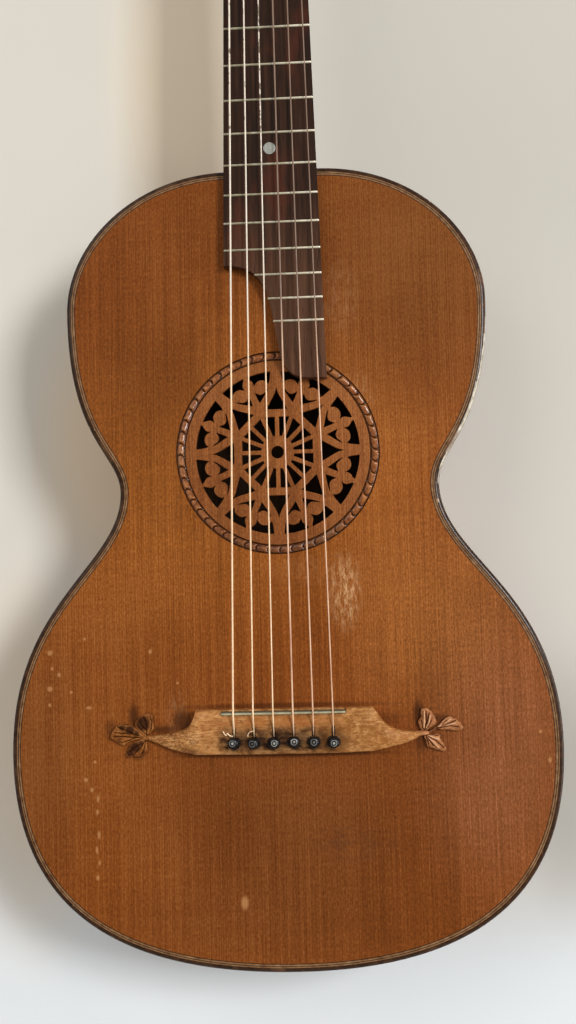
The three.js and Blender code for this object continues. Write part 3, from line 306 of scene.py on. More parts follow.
def hardwood(name, dark, mid, light, rough, grain, stretch, coat, pores, figure=0.0):
    """A wood with its grain along Z: streaks, pores as short dark dashes and, if asked, cross figure."""
    s = Shade(name, spec=0.2, coat=coat, coat_rough=0.2)
    streak = s.noise((grain, grain, stretch), 4, 0.6, 0.4)
    broad = s.noise((60, 60, 5), offset=(2, 3, 1))
    tone = s.blend((streak, 0.55), (broad, 0.45))
    if figure:
        flame = s.noise((14, 14, 150), 2, 0.5, 0.8, offset=(1, 1, 1))
        tone = s.calc("ADD", tone, s.times(s.calc("SUBTRACT", flame, 0.5), figure))
    dashes = s.span(s.noise((1500, 1500, 130), 2, offset=(7, 0, 0)), 0.6, 0.7)
    paint = s.tint(s.ramp(tone, THIRDS, dark, mid, light), dark, dashes, pores)
    return s.finish(paint, s.span(broad, 0.3, 0.7, rough - 0.06, rough + 0.1), (dashes, 0.05, -0.35),
                    (streak, 0.06, 0.3))


def rosewood():
    """The fingerboard's wood, darker and redder up the neck than over the body."""
    s = Shade("board_wood", spec=0.1, coat=0.03, coat_rough=0.35)
    streak = s.noise((330, 60, 9), 4, 0.65, 0.3)
    wide = s.noise((75, 20, 3.5), offset=(4, 0, 2))
    red = s.noise((46, 10, 17), offset=(1, 0, 5))
    low = s.ramp(streak, THIRDS, "402818", "533625", "694530")
    low = s.tint(low, "38261a", s.span(wide, 0.5, 0.36, 0, 0.35))
    high = s.ramp(streak, THIRDS, "1c110a", "2e1c12", "43291b")
    high = s.tint(high, "55291a", s.span(red, 0.5, 0.62, 0, 0.6))
    high = s.tint(high, "1e120b", s.span(wide, 0.52, 0.38, 0, 0.6))
    paint = s.mix(s.span(s.axis("Z"), 0.455, 0.385), high, low)
    pore = s.span(s.noise((1500, 900, 90), 2), 0.6, 0.68)
    paint = s.tint(paint, "1a1310", pore, 0.6)
    return s.finish(paint, s.span(s.noise((30, 10, 22)), 0.3, 0.7, 0.42, 0.58), (pore, 0.06, -0.4),
                    (streak, 0.08, 0.25))


def edge_wood(name, dark, mid, light, coat):
    """The dark edge strip, with wear through to a lighter brown where hands and knees touch it."""
    s = Shade(name, spec=0.1, coat=coat, coat_rough=0.15)
    grain = s.noise((300, 300, 300), 4, 0.6)
    rub = s.noise((34, 34, 26), 4, 0.65, offset=(2, 0, 1))
    paint = s.ramp(grain, (0.3, 0.55, 0.75), dark, mid, light)
    paint = s.tint(paint, "6a4a31", s.span(rub, 0.56, 0.7, 0, 0.7))
    cells = s.node("ShaderNodeTexVoronoi", {"Vector": s.place((150, 150, 110)), "Scale": 1})
    chips = s.span(cells.outputs["Distance"], 0.1, 0.16, 1, 0)
    rare = s.span(s.noise((20, 20, 16), 2, offset=(8, 0, 2)), 0.55, 0.62)
    paint = s.tint(paint, "9c8062", chips, rare)
    return s.finish(paint, s.span(rub, 0.35, 0.7, 0.28, 0.48), (grain, 0.1, 0.4), (rub, 0.3, 0.35))


def line_wood(name, dark, mid, light):
    s = Shade(name, spec=0.1, coat=0.08, coat_rough=0.3)
    grain = s.noise((260, 260, 260), 4, 0.6)
    paint = s.ramp(grain, (0.3, 0.5, 0.72), dark, mid, light)
    return s.finish(paint, s.span(grain, 0.3, 0.7, 0.4, 0.55), (grain, 0.06, 0.35))


def bridge_wood():
    """Pale bridge wood with wear, mottled, with dirt and painted shade round the pins, and tooling marks at the bass
    wing.
    """
    s = Shade("bridge_wood", spec=0.08, coat=0.04, coat_rough=0.3)
    mottle = s.noise((150, 60, 190), 5, 0.65, 0.6)
    cloud = s.noise((38, 20, 60), 4, 0.6, offset=(3, 0, 1))
    fibre = s.noise((150, 400, 1250), 4, 0.7)
    flecks = s.noise((430, 60, 620), 3, 0.65, offset=(5, 0, 2))
    speck = s.noise((260, 60, 420), 4, 0.7, offset=(1, 4, 2))
    cuts = s.noise((520, 40, 900), 2, 0.6, 1.6, turn=(0, 0.5, 0))
    paint = s.ramp(mottle, (0.3, 0.5, 0.68), "8a5127", "bd824a", "d9a067")
    for value, low, high, most, colour in (
            (cloud, 0.5, 0.68, 0.55, "96592a"), (fibre, 0.52, 0.64, 0.5, "6e3c14"),
            (flecks, 0.56, 0.66, 0.6, "5f3412"), (fibre, 0.46, 0.36, 0.5, "e8b478")):
        paint = s.tint(paint, colour, s.span(value, low, high, 0, most))
    pin_shade_and_grime = s.span(mottle, 0.35, 0.6, 1.0, 0.6)
    # Painted shade, with some dirt, round each pin and to its left.
    for x in string_places(BRIDGE_SPREAD):
        paint = s.patch(paint, "27140a", (x - 1.4, PIN_Z + 1, 8, 7.6), 14, 0.5, pin_shade_and_grime, y=BRIDGE)
    red, old = s.span(mottle, 0.4, 0.6), s.span(speck, 0.4, 0.6, 1, 0.25)
    paint = s.patch(paint, "94501c", (-2, 148, 33, 4), 20, 0.5, red, 0.7, y=BRIDGE)
    paint = s.patch(paint, "84501f", (46, 142, 24, 15), 20, 0.5, old, 0.8, y=BRIDGE)
    for x, z in ((-52, 134), (30, 137), (-66, 138)):
        paint = s.patch(paint, "60402a", (x, z, 9, 4), 20, 0.7, s.span(cloud, 0.42, 0.55), 0.55, y=BRIDGE)
    tooling = s.times(s.blob((-62, BRIDGE, 139), (14, 20, 8), 0.4), s.span(cuts, 0.46, 0.56))
    paint = s.tint(paint, "6a3f18", tooling, 0.65)
    return s.finish(paint, s.span(cloud, 0.3, 0.7, 0.45, 0.62), (tooling, 0.4, -0.6), (mottle, 0.12, 0.35),
                    (fibre, 0.05, 0.3))


def leaf_wood(name, dark, mid, light, hollow_shade, ridge_highlight):
    """Carved leaf wood: a value carried on each point of the mesh paints shade into veins, hollows and edges, and a
    painted highlight onto the folds.
    """
    s = Shade(name, spec=0.06, coat=0.03, coat_rough=0.3)
    grain = s.noise((420, 200, 420), 4, 0.65)
    tone = s.noise((170, 60, 170), 3, 0.6, offset=(1, 0, 3))
    paint = s.ramp(s.blend((grain, 0.4), (tone, 0.6)), (0.36, 0.5, 0.64), dark, mid, light)
    painted_shade = s.node("ShaderNodeAttribute", attribute_name="painted_shade").outputs["Fac"]
    broken = s.calc("ADD", painted_shade, s.times(s.calc("SUBTRACT", grain, 0.5), 0.5))
    # Painted shade in veins, hollows and along the edge, and a painted highlight on the folds.
    paint = s.tint(paint, hollow_shade, s.span(broken, 0.12, 0.7, 0, 0.95))
    paint = s.tint(paint, ridge_highlight, s.span(broken, -0.12, -0.4, 0, 0.7))
    return s.finish(paint, s.span(tone, 0.3, 0.7, 0.38, 0.58), (grain, 0.1, 0.4))


def carved_wood():
    """The rope's wood: painted shade in the cuts, a painted highlight on the crests, darker along the ring's lower arc.
    """
    s = Shade("rope_wood", spec=0.15, coat=0.55, coat_rough=0.14)
    grain = s.noise((500, 500, 500), 3, 0.6)
    tone = s.noise((40, 40, 40), offset=(0, 0, 2))
    height = s.axis("Y")
    paint = s.ramp(grain, (0.3, 0.5, 0.72), "5e2f10", "84491d", "a8652f")
    paint = s.tint(paint, "96602f", s.span(tone, 0.45, 0.7, 0, 0.5))
    # Painted shade in the cuts and a painted highlight on the crests, by how proud the surface stands.
    paint = s.tint(paint, "2c1508", s.span(height, (FACE + 0.15) * MM, (FACE - 0.35) * MM, 1, 0), 0.85)
    paint = s.tint(paint, "c08450", s.span(height, (FACE - 0.6) * MM, (FACE - 1.1) * MM, 0, 0.6))
    lower_arc = s.span(s.axis("Z"), (ROSETTE_Z - 30) * MM, (ROSETTE_Z - 52) * MM, 0, 0.5)
    paint = s.tint(paint, "3f2212", lower_arc, s.span(tone, 0.35, 0.6, 0.5, 1))
    return s.finish(paint, s.span(tone, 0.3, 0.7, 0.26, 0.4), (grain, 0.06, 0.35))


def metal(name, dark, mid, light, rough, spots, spot_share, metallic=1.0, highlight_right=None):
    s = Shade(name, metal=metallic, spec=0.5)
    cloud = s.noise((140, 140, 140), 4, 0.6)
    tarnish = s.span(s.noise((320, 320, 320), 4, 0.7, offset=(4, 1, 0)), 0.52, 0.68)
    paint = s.tint(s.ramp(cloud, THIRDS, dark, mid, light), spots, tarnish, spot_share)
    if highlight_right:
        # A painted highlight towards the frets' right-hand ends.
        paint = s.tint(paint, highlight_right, s.span(s.axis("X"), -0.012, 0.03, 0, 0.8))
    return s.finish(paint, s.span(cloud, 0.3, 0.7, rough, rough + 0.18), (s.noise((1400, 1400, 1400), 2), 0.02, 0.3),
                    (cloud, 0.06, 0.25))


def string_material(name, pale, mid, dim, metallic, rough, bare=None):
    """A string dims up the neck. A wound one has fine wraps and a few places where its bright winding is gone."""
    s = Shade(name, metal=metallic, spec=0.5)
    tone = s.noise((300, 300, 60), 3, 0.6)
    up = s.axis("Z")
    paint = s.tint(s.ramp(tone, (0.3, 0.6), mid, pale), dim, s.span(up, 0.33, 0.4, 0, 0.8))
    bumps = []
    if bare:
        limit = s.span(s.axis("X"), -0.0085, -0.0065, 0.6, 0.5)
        lost = s.calc("SUBTRACT", s.noise((900, 10, 260), 2, 0.6, offset=(2, 0, 1)), limit)
        paint = s.tint(paint, bare, s.span(lost, 0, 0.04), s.span(up, 0.44, 0.5), 0.9)
        wraps = s.node("ShaderNodeTexWave", {"Vector": s.point, "Scale": 1250, "Distortion": 0}, bands_direction="Z")
        bumps = [(wraps.outputs["Fac"], 0.05, 0.6)]
    return s.finish(paint, s.span(tone, 0.3, 0.7, rough, rough + 0.15), *bumps)


def bone(name, dark, mid, light, rough=0.35, shaded_above=None):
    s = Shade(name, spec=0.5, coat=0.2, coat_rough=0.2)
    cloud = s.noise((90, 90, 90), 4, 0.6)
    fibre = s.noise((260, 900, 900), 3, 0.6)
    paint = s.ramp(s.blend((cloud, 0.6), (fibre, 0.4)), THIRDS, dark, mid, light)
    # Painted shade on the saddle's upper side, above a height.
    if shaded_above:
        high = s.span(s.axis("Z"), (shaded_above - 0.1) * MM, (shaded_above + 0.25) * MM, 0, 0.85)
        paint = s.tint(paint, "3f3a2a", high)
    return s.finish(paint, s.span(cloud, 0.3, 0.7, rough, rough + 0.15), (fibre, 0.03, 0.3))


def pearl():
    s = Shade("pearl", spec=0.4, coat=0.4, coat_rough=0.1)
    cloud = s.noise((420, 200, 420), 4, 0.6, 1.2, offset=(1, 0, 0))
    paint = s.ramp(cloud, (0.3, 0.45, 0.6, 0.75), "7e877f", "a3a99f", "958f86", "c2c3b8")
    return s.finish(paint, s.span(cloud, 0.3, 0.7, 0.18, 0.3), (cloud, 0.03, 0.2))


def ebony():
    s = Shade("ebony", spec=0.2, coat=0.3, coat_rough=0.08)
    cloud = s.noise((300, 300, 300), 4, 0.65)
    paint = s.ramp(cloud, (0.3, 0.6, 0.8), "070505", "130d0b", "2c1c14")
    return s.finish(paint, s.span(cloud, 0.3, 0.7, 0.2, 0.42), (cloud, 0.12, 0.5))


TOP = spruce("spruce_top", "63310c", "874717", "a5612a")
FRET_WOOD = spruce("rosette_spruce", "6a381a", "8e5429", "ad6d3c", worn=False)
EDGE = edge_wood("edge_wood", "24140a", "3a2414", "523620", 0.2)
# Pale edge wood that paints a highlight on the corner right of the waist.
EDGE_HIGHLIGHT = edge_wood("edge_highlight", "8f7f6a", "c4b7a2", "e6dccb", 0.7)
LINE_PALE = line_wood("purfling_pale", "66452c", "85603f", "9f7a56")
LINE_DARK = line_wood("purfling_dark", "1c1008", "2b1a0e", "3f2814")
SIDE = hardwood("side_wood", "482411", "6d3a1b", "91562c", 0.34, 300, 10, 0.2, 0.3, 0.3)
BACK = hardwood("back_wood", "482411", "703c1c", "935a2f", 0.34, 300, 8, 0.2, 0.3, 0.25)
NECK = hardwood("neck_wood", "2c160c", "472615", "613a22", 0.36, 380, 12, 0.2, 0.5)
VENEER = hardwood("veneer_wood", "150d09", "261810", "3e281a", 0.3, 420, 10, 0.2, 0.4)
# The back's inner face, seen through the rosette, painted dark as shade.
INSIDE_SHADED = hardwood("inside_shaded_wood", "2a190d", "402a18", "553a22", 0.7, 300, 8, 0.0, 0.25)
INNER = hardwood("inner_wood", "8c6238", "a87c4c", "c39a66", 0.7, 500, 8, 0.0, 0.2)
BOARD_WOOD = rosewood()
BRIDGE_WOOD = bridge_wood()
# Each leaf's shade colour paints its veins and hollows, and its light colour paints the folds' highlight.
LEAF_BASS = leaf_wood("leaf_bass_wood", "5e3216", "885024", "b0733c", "361a0a", "d49c60")
LEAF_TREBLE = leaf_wood("leaf_treble_wood", "7a4828", "a56b42", "c38b60", "341708", "dfac84")
ROPE = carved_wood()
# The frets' right-hand ends carry a painted highlight.
FRET = metal("fret_metal", "8f866c", "b5ac90", "d6ceb4", 0.3, "6d6248", 0.4, 0.3, "fff4da")
BRASS = metal("aged_brass", "7d6230", "a88849", "c8a865", 0.3, "4d3c1e", 0.5)
STEEL = metal("screw_steel", "6f6b62", "96928a", "b4b0a6", 0.3, "3b362e", 0.4)
PIN_METAL = metal("pin_metal", "6e6f70", "9b9c9a", "c2c2be", 0.25, "3c3d40", 0.5, 0.8)
WOUND = string_material("wound_string", "ffdcb2", "ecc49c", "eadfd0", 0.15, 0.3, "5a4630")
PLAIN = string_material("plain_string", "e8bc98", "c89676", "5e4d44", 0.0, 0.25)
BONE = bone("bone", "b5a684", "d2c6a6", "e6dcc2")
BUTTON = bone("button_bone", "c2b490", "ddd2b4", "ece4cc", 0.28)
# The saddle's upper side is painted in shade.
SADDLE_BONE = bone("saddle_bone", "8c8468", "aba281", "c6bd9a", 0.4, SADDLE_Z + 0.2)
PEARL = pearl()
EBONY = ebony()


# Mesh helpers


def soften(piece, width, steps=2, angle=30):
    modifier = piece.modifiers.new("edges", "BEVEL")
    modifier.width = width * MM
    modifier.segments = steps
    modifier.limit_method = "ANGLE"
    modifier.angle_limit = math.radians(angle)
    modifier.use_clamp_overlap = True
    modifier.harden_normals = True


def at(surface, z):
    """A depth that is given as a number or as a function of the height."""
    return surface(z) if callable(surface) else surface


class Build:
    """Collects points and faces of several shapes into one mesh. which is a face's place in the materials."""

    def __init__(self):
        self.points, self.faces, self.which = [], [], []

    def add(self, points, faces, which=0):
        base = len(self.points)
        self.points += [tuple(p) for p in points]
        self.faces += [[i + base for i in face] for face in faces]
        self.which += [which] * len(faces) if isinstance(which, int) else list(which)
        return self

    def loft(self, rings, which=0, caps=True, band=None):
        """Closed rings of points joined in order. caps fills the first and the last."""
        count, last = len(rings[0]), len(rings) - 1
        faces, marks = [], []
        for r in range(last):
            for i in range(count):
                j = (i + 1) % count
                faces.append([r * count + i, r * count + j, (r + 1) * count + j, (r + 1) * count + i])
                marks.append(band(r, i) if band else which)
        if caps:
            faces += [list(range(count))[::-1], [last * count + i for i in range(count)]]
            marks += [which, which]
        return self.add([p for ring in rings for p in ring], faces, marks)

    def lathe(self, profile, place, sides=32, which=0):
        """A turned shape: profile of [radius, along], place turns (x, y, along) into a point."""
        return self.loft([[place(r * math.cos(a), r * math.sin(a), height) for a in around(sides)]
                          for r, height in ((max(radius, 0.001), height) for radius, height in profile)], which)

    def prism(self, outer, holes, front, back, front_which=0):
        """A plate of [x, z] loops between two surfaces, with walls round every loop."""
        flat, edges, starts = [], [], []
        for course in (outer, *holes):
            start, n = len(flat), len(course)
            starts.append(start)
            flat += [Vector((x, z)) for x, z in course]
            edges += [(start + i, start + (i + 1) % n) for i in range(n)]
        caps = inside_faces(flat, edges, starts)
        n = len(flat)
        points = [(p.x, at(surface, p.y), p.y) for surface in (front, back) for p in flat]
        faces = caps + [[i + n for i in f][::-1] for f in caps] + [[a, b, b + n, a + n] for a, b in edges]
        return self.add(points, faces, [front_which] * len(caps) + [0] * (len(faces) - len(caps)))

    def mesh(self, name, mats=(), merge=False):
        """The build as a mesh in metres, with its faces turned outwards."""
        mesh = bpy.data.meshes.new(name)
        mesh.from_pydata([[c * MM for c in p] for p in self.points], [], self.faces)
        for mat in mats:
            mesh.materials.append(mat)
        mesh.polygons.foreach_set("material_index", self.which)
        shaped = bmesh.new()
        shaped.from_mesh(mesh)
        if merge:
            bmesh.ops.remove_doubles(shaped, verts=shaped.verts, dist=1e-7)
        bmesh.ops.recalc_face_normals(shaped, faces=shaped.faces)
        shaped.to_mesh(mesh)
        shaped.free()
        return mesh

    def make(self, name, mats, slot, node=None, body="guitar", sharp=35, bevel=0.0, steps=2, merge=True):
        """A piece that rides on a body and, where a CAD node is named, stands for it."""
        mesh = self.mesh(name, mats if isinstance(mats, list) else [mats], merge)
        mesh.polygons.foreach_set("use_smooth", [True] * len(mesh.polygons))
        mesh.set_sharp_from_angle(angle=math.radians(sharp))
        mesh.update()
        piece = bpy.data.objects.new(name, mesh)
        scene.collection.objects.link(piece)
        if bevel:
            soften(piece, bevel, steps, max(sharp, 30))
        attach(piece, body)
        if node:
            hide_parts(node)
        return piece


def inside_faces(flat, edges, starts):
    """The triangles between loops that start at some points: inside the first loop, and in none of the others."""
    out, _, faces, _, _, _ = delaunay_2d_cdt(flat, edges, [], 1, 1e-7)
    spots = np.array([(p.x, p.y) for p in out])
    faces = np.array(faces)
    mid = spots[faces].mean(1)
    ends = np.array([[(flat[i].x, flat[i].y), (flat[j].x, flat[j].y)] for i, j in edges])
    (ax, ay), (bx, by) = ends[:, 0].T, ends[:, 1].T
    x, y = mid[:, :1], mid[:, 1:]
    rise = np.where(by == ay, 1, by - ay)
    crossed = ((ay > y) != (by > y)) & (x < ax + (y - ay) * (bx - ax) / rise)
    odd = np.add.reduceat(crossed, starts, axis=1) % 2
    keep = (odd[:, 0] == 1) & (odd[:, 1:].sum(1) == 0)
    return [list(map(int, face)) for face in faces[keep]]


def carve(piece, knives):
    """Cuts the knives' solids out of a piece, as real geometry."""
    tool = bpy.data.objects.new(piece.name + "_knives", knives.mesh(piece.name + "_knives"))
    scene.collection.objects.link(tool)
    modifier = piece.modifiers.new("holes", "BOOLEAN")
    modifier.operation = "DIFFERENCE"
    modifier.solver = "EXACT"
    modifier.object = tool
    deps = bpy.context.evaluated_depsgraph_get()
    result = bpy.data.meshes.new_from_object(piece.evaluated_get(deps))
    piece.modifiers.clear()
    piece.data = result
    result.set_sharp_from_angle(angle=math.radians(40))
    bpy.data.objects.remove(tool)


def around(count):
    """Angles spread evenly over a full turn."""
    return [2 * math.pi * i / count for i in range(count)]


def arc(x, z, radius, start, end, count):
    return [(x + radius * math.cos(t), z + radius * math.sin(t)) for t in np.linspace(start, end, count)]


def circle(x, z, radius, steps):
    return [(x + radius * math.cos(a), z + radius * math.sin(a)) for a in around(steps)]


def cubic(a, b, c, d, steps):
    """Points along a Bezier curve, and its unit directions there."""
    t = np.linspace(0, 1, steps + 1)[:, None]
    a, b, c, d = (np.array(p, float) for p in (a, b, c, d))
    spot = a * (1 - t) ** 3 + 3 * b * t * (1 - t) ** 2 + 3 * c * t ** 2 * (1 - t) + d * t ** 3
    way = 3 * ((b - a) * (1 - t) ** 2 + 2 * (c - b) * t * (1 - t) + (d - c) * t ** 2)
    return spot, way / np.linalg.norm(way, axis=1)[:, None]


def curve(*knots_and_steps):
    return [tuple(p) for p in cubic(*knots_and_steps)[0]]


def rounded(points, steps, corner):
    """A closed outline with a smooth curve through its points, except where it turns by more than corner degrees."""
    pts = [np.array(p, float) for p in points]
    n = len(pts)
    is_corner = []
    for i in range(n):
        a, b = pts[i] - pts[i - 1], pts[(i + 1) % n] - pts[i]
        is_corner.append(math.degrees(abs(math.atan2(a[0] * b[1] - a[1] * b[0], a @ b))) > corner)
    out = []
    for i in range(n):
        p0, p1, p2, p3 = pts[i - 1], pts[i], pts[(i + 1) % n], pts[(i + 2) % n]
        size = np.linalg.norm(p2 - p1)
        m1 = p2 - p1 if is_corner[i] else (p2 - p0) / 2
        m2 = p2 - p1 if is_corner[(i + 1) % n] else (p3 - p1) / 2
        m1, m2 = (m / max(np.linalg.norm(m), 1e-9) * size for m in (m1, m2))
        for k in range(steps):
            t = k / steps
            out.append(tuple((2 * t ** 3 - 3 * t ** 2 + 1) * p1 + (t ** 3 - 2 * t ** 2 + t) * m1
                             + (-2 * t ** 3 + 3 * t ** 2) * p2 + (t ** 3 - t ** 2) * m2))
    return out


def tube(path, radii, sides):
    """Rings of a round tube along a path, carried without twist."""
    pts = [Vector(p) for p in path]
    ways = [(b - a).normalized() for a, b in zip(pts, pts[1:])]
    across = Vector((1, 0, 0))
    if abs(across.dot(ways[0])) > 0.9:
        across = Vector((0, 1, 0))
    rings = []
    for i, (p, r) in enumerate(zip(pts, radii)):
        way = (ways[max(i - 1, 0)] + ways[min(i, len(ways) - 1)]).normalized()
        across = (across - way * across.dot(way)).normalized()
        other = way.cross(across)
        rings.append([tuple(p + across * (r * math.cos(a)) + other * (r * math.sin(a))) for a in around(sides)])
    return rings


# Body


def half_outline():
    """The right half's points from tail to neck, and its directions there."""
    h = HANDLES
    tail, low = (0, TAIL_Z), (LOWER, along(SHARES["lower"]))
    waist, up, flat = (WAIST, along(SHARES["waist"])), (UPPER, along(SHARES["upper"])), (FLAT, JOINT_Z)
    s = [low[1] - tail[1], waist[1] - low[1], up[1] - waist[1], flat[1] - up[1]]
    spans = [
        (tail, (h["tail"] * low[0], tail[1]), (low[0], low[1] - h["lower_in"] * s[0]), low, 60),
        (low, (low[0], low[1] + h["lower_out"] * s[1]), (waist[0], waist[1] - h["waist_in"] * s[1]), waist, 46),
        (waist, (waist[0], waist[1] + h["waist_out"] * s[2]), (up[0], up[1] - h["upper_in"] * s[2]), up, 40),
        (up, (up[0], up[1] + h["upper_out"] * s[3]), (flat[0] + h["neck"] * (up[0] - flat[0]), flat[1]), flat, 44),
    ]
    parts = [cubic(*span) for span in spans]
    skip = [0, 1, 1, 1]
    return [np.concatenate([part[k][n:] for part, n in zip(parts, skip)]) for k in (0, 1)]


SPOTS, WAYS = half_outline()


def right_edge(inset):
    edge = np.stack([SPOTS[:, 0] - WAYS[:, 1] * inset, SPOTS[:, 1] + WAYS[:, 0] * inset], 1)
    edge[0] = (0, TAIL_Z + inset)
    return edge


def loop(inset):
    """The body's whole outline, set in by some millimetres."""
    right = right_edge(inset)
    left = right[::-1] * (-1, 1)
    return [tuple(p) for p in right] + [tuple(p) for p in left[:-1]]


def ring_strip(profile, band=None):
    """A strip round the body: profile of [inset, y], where y may be a function of z."""
    rings = [[(x, at(y, z), z) for x, z in loop(inset)] for inset, y in profile]
    return Build().loft(rings + rings[:1], caps=False, band=band)


def pin_hole(x, reach=8.4):
    """The outline of a pin's hole, with the string's slot that reaches up from it."""
    radius, half = 2.55, 0.93
    lean = math.asin(half / radius)
    ring = arc(x, PIN_Z, radius, math.pi / 2 + lean, 5 * math.pi / 2 - lean, 21)
    return ring + [(x + half, PIN_Z + reach), (x - half, PIN_Z + reach)]


def body_pieces():
    holes = [circle(0, ROSETTE_Z, 58.5, 160)] + [pin_hole(x, 4.6) for x in string_places(BRIDGE_SPREAD)]
    Build().prism(loop(7.71), holes, FACE, INNER_FACE).make("top_plate", TOP, "spruce", "soundboard")
    profile = [(i, FACE) for i in (3.41, 3.8, 4.65, 5.1, 7.7)] + [(7.7, INNER_FACE), (3.41, INNER_FACE)]
    marks = [1, 0, 1, 2, 2, 2, 2]
    ring_strip(profile, lambda r, i: marks[r]).make(
        "purfling_lines", [LINE_PALE, LINE_DARK, TOP], "purfling", "purfling_front")
    rim = [(3.4, 0), (2.8, 0), (2.3, 0.03), (1.75, 0.13), (1.25, 0.31), (0.8, 0.58), (0.42, 0.95), (0.14, 1.45),
           (0, 2.1), (0, TOP_THICK), (3.4, TOP_THICK)]
    course = loop(0)
    # A painted highlight on the corner at the right of the waist: heights for each band of the rim.
    highlight_heights = {3: (296, 334), 4: (286, 352), 5: (279, 362), 6: (284, 374)}

    def edge_mark(r, i):
        x, z = course[i]
        low, high = highlight_heights.get(r, (0, 0))
        return 1 if r == 0 else 2 if x > 0 and low < z < high else 0
    ring_strip([(inset, FACE + sink) for inset, sink in rim], edge_mark).make(
        "edge_strip_front", [EDGE, LINE_PALE, EDGE_HIGHLIGHT], "dark_edge", "binding_front", sharp=60)

    def back_at(depth):
        return lambda z: back_y(z) - depth
    rim = [(3.4, 2.6), (0, 2.6), (0, 1.4), (0.12, 0.8), (0.4, 0.38), (0.85, 0.12), (1.5, 0), (3.4, 0)]
    ring_strip([(inset, back_at(depth)) for inset, depth in rim]).make(
        "edge_strip_back", EDGE, "dark_edge", "binding_back", sharp=60)
    Build().prism(loop(3.5), [], back_at(2.6), back_y, front_which=1).make(
        "back_plate", [BACK, INSIDE_SHADED], "body_wood", "back")
    thick = 2.2
    outer, inner = right_edge(0), right_edge(thick)
    keep = [i for i, (x, z) in enumerate(outer) if x > 0.1 and (x > 11.3 or z < 200)]
    runs = [[(0.1, TAIL_Z + inset), *edge[keep], (11.4, JOINT_Z - inset)]
            for inset, edge in ((0, outer), (thick, inner))]
    for side, name in ((-1, "bass"), (1, "treble")):
        rings = [[(side * x, INNER_FACE, z), (side * x, back_y(z) - 2.85, z),
                  (side * u, back_y(w) - 2.85, w), (side * u, INNER_FACE, w)] for (x, z), (u, w) in zip(*runs)]
        Build().loft(rings).make(f"side_{name}", SIDE, "body_wood", f"rib_{name}")
    half, low, high = 3.2, TAIL_Z + 12, JOINT_Z - 12
    corners = [(-half, low), (half, low), (half, high), (-half, high)]
    Build().prism(corners, [], back_at(0.2), back_at(-0.06)).make("back_centre_strip", LINE_DARK, "dark_edge")


# Rosette

# Windows of one sector, as shares of the tracery's radius, first out along the sector's middle, then across.
STAR = [(0.528, 0.132), (0.592, 0.098), (0.655, 0.062), (0.712, 0.031), (0.758, 0.012), (0.815, 0)]
STEM = [(0.603, 0.203), (0.65, 0.172), (0.7, 0.138), (0.752, 0.106), (0.8, 0.086), (0.757, 0.124), (0.727, 0.15),
        (0.713, 0.178), (0.714, 0.208), (0.738, 0.262), (0.672, 0.236)]
SPANDREL = [(0.914, 0.351), (0.895, 0.322), (0.874, 0.293), (0.843, 0.276), (0.808, 0.276), (0.838, 0.256),
            (0.866, 0.236), (0.884, 0.203), (0.889, 0.168), (0.882, 0.133), (0.862, 0.106), (0.84, 0.092),
            (0.87, 0.078), (0.93, 0.068)]


def rosette_windows():
    """The tracery's windows: eight sectors of seven, each a little different as if cut by hand, and a centre."""
    radius, hub, apothem, half, count = 47.1, 9.4, 20.4, 1.15, 8
    sector = 2 * math.pi / count
    star, stem, spandrel = ([(a * radius, b * radius) for a, b in shares] for shares in (STAR, STEM, SPANDREL))
    rim = arc(0, 0, radius, 0.0098 * 2 * math.pi, 0.0588 * 2 * math.pi, 9)
    lean = sector / 2
    far = (apothem - half * math.sin(lean)) / math.cos(lean)
    corner = (far * math.cos(lean) + half * math.sin(lean), far * math.sin(lean) - half * math.cos(lean))
    angle = math.atan2(half, math.sqrt(hub ** 2 - half ** 2))
    inner = arc(0, 0, hub, lean - angle, angle, 4)
    wheel = [inner[-1], (apothem, half), corner] + inner[:-1]
    shapes = [rounded(star + [(a, -b) for a, b in star[:-1][::-1]], 3, 60)]
    for window in (rounded(rim + spandrel, 4, 48), rounded(stem, 4, 58), wheel):
        shapes += [window, [(a, -b) for a, b in window]]
    windows = [circle(0, ROSETTE_Z, 3.7, 28)]
    hand = random.Random(5)
    for point in range(count):
        c, s = math.cos(point * sector), math.sin(point * sector)
        for window in shapes:
            middle = np.mean(window, axis=0)
            size, drift = hand.uniform(0.985, 1.02), np.array([hand.uniform(-0.13, 0.13), hand.uniform(-0.13, 0.13)])
            cut = (np.array(window) - middle) * size + middle + drift
            windows.append([(a * c - b * s, ROSETTE_Z + a * s + b * c) for a, b in cut])
    return windows


def rope_rise(phase, q):
    """How proud the rope stands of the face, at a place along its beads and from -1 to 1 across it."""
    if abs(q) > 0.86:
        return -0.3 + 0.3 * min(1.0, (abs(q) - 0.86) / 0.05)
    f = (phase + 0.3 * q * q - 0.12 * q) % 1.0
    rise = min(1.0, f / 0.16) * (1 - 0.55 * f) if f < 0.93 else (1 - 0.55 * f) * (1 - f) / 0.07
    dome = max(0.0, 1 - abs(q / 0.84) ** 2.2) ** 0.55
    return -0.6 + 1.75 * dome * max(rise, 0.0)


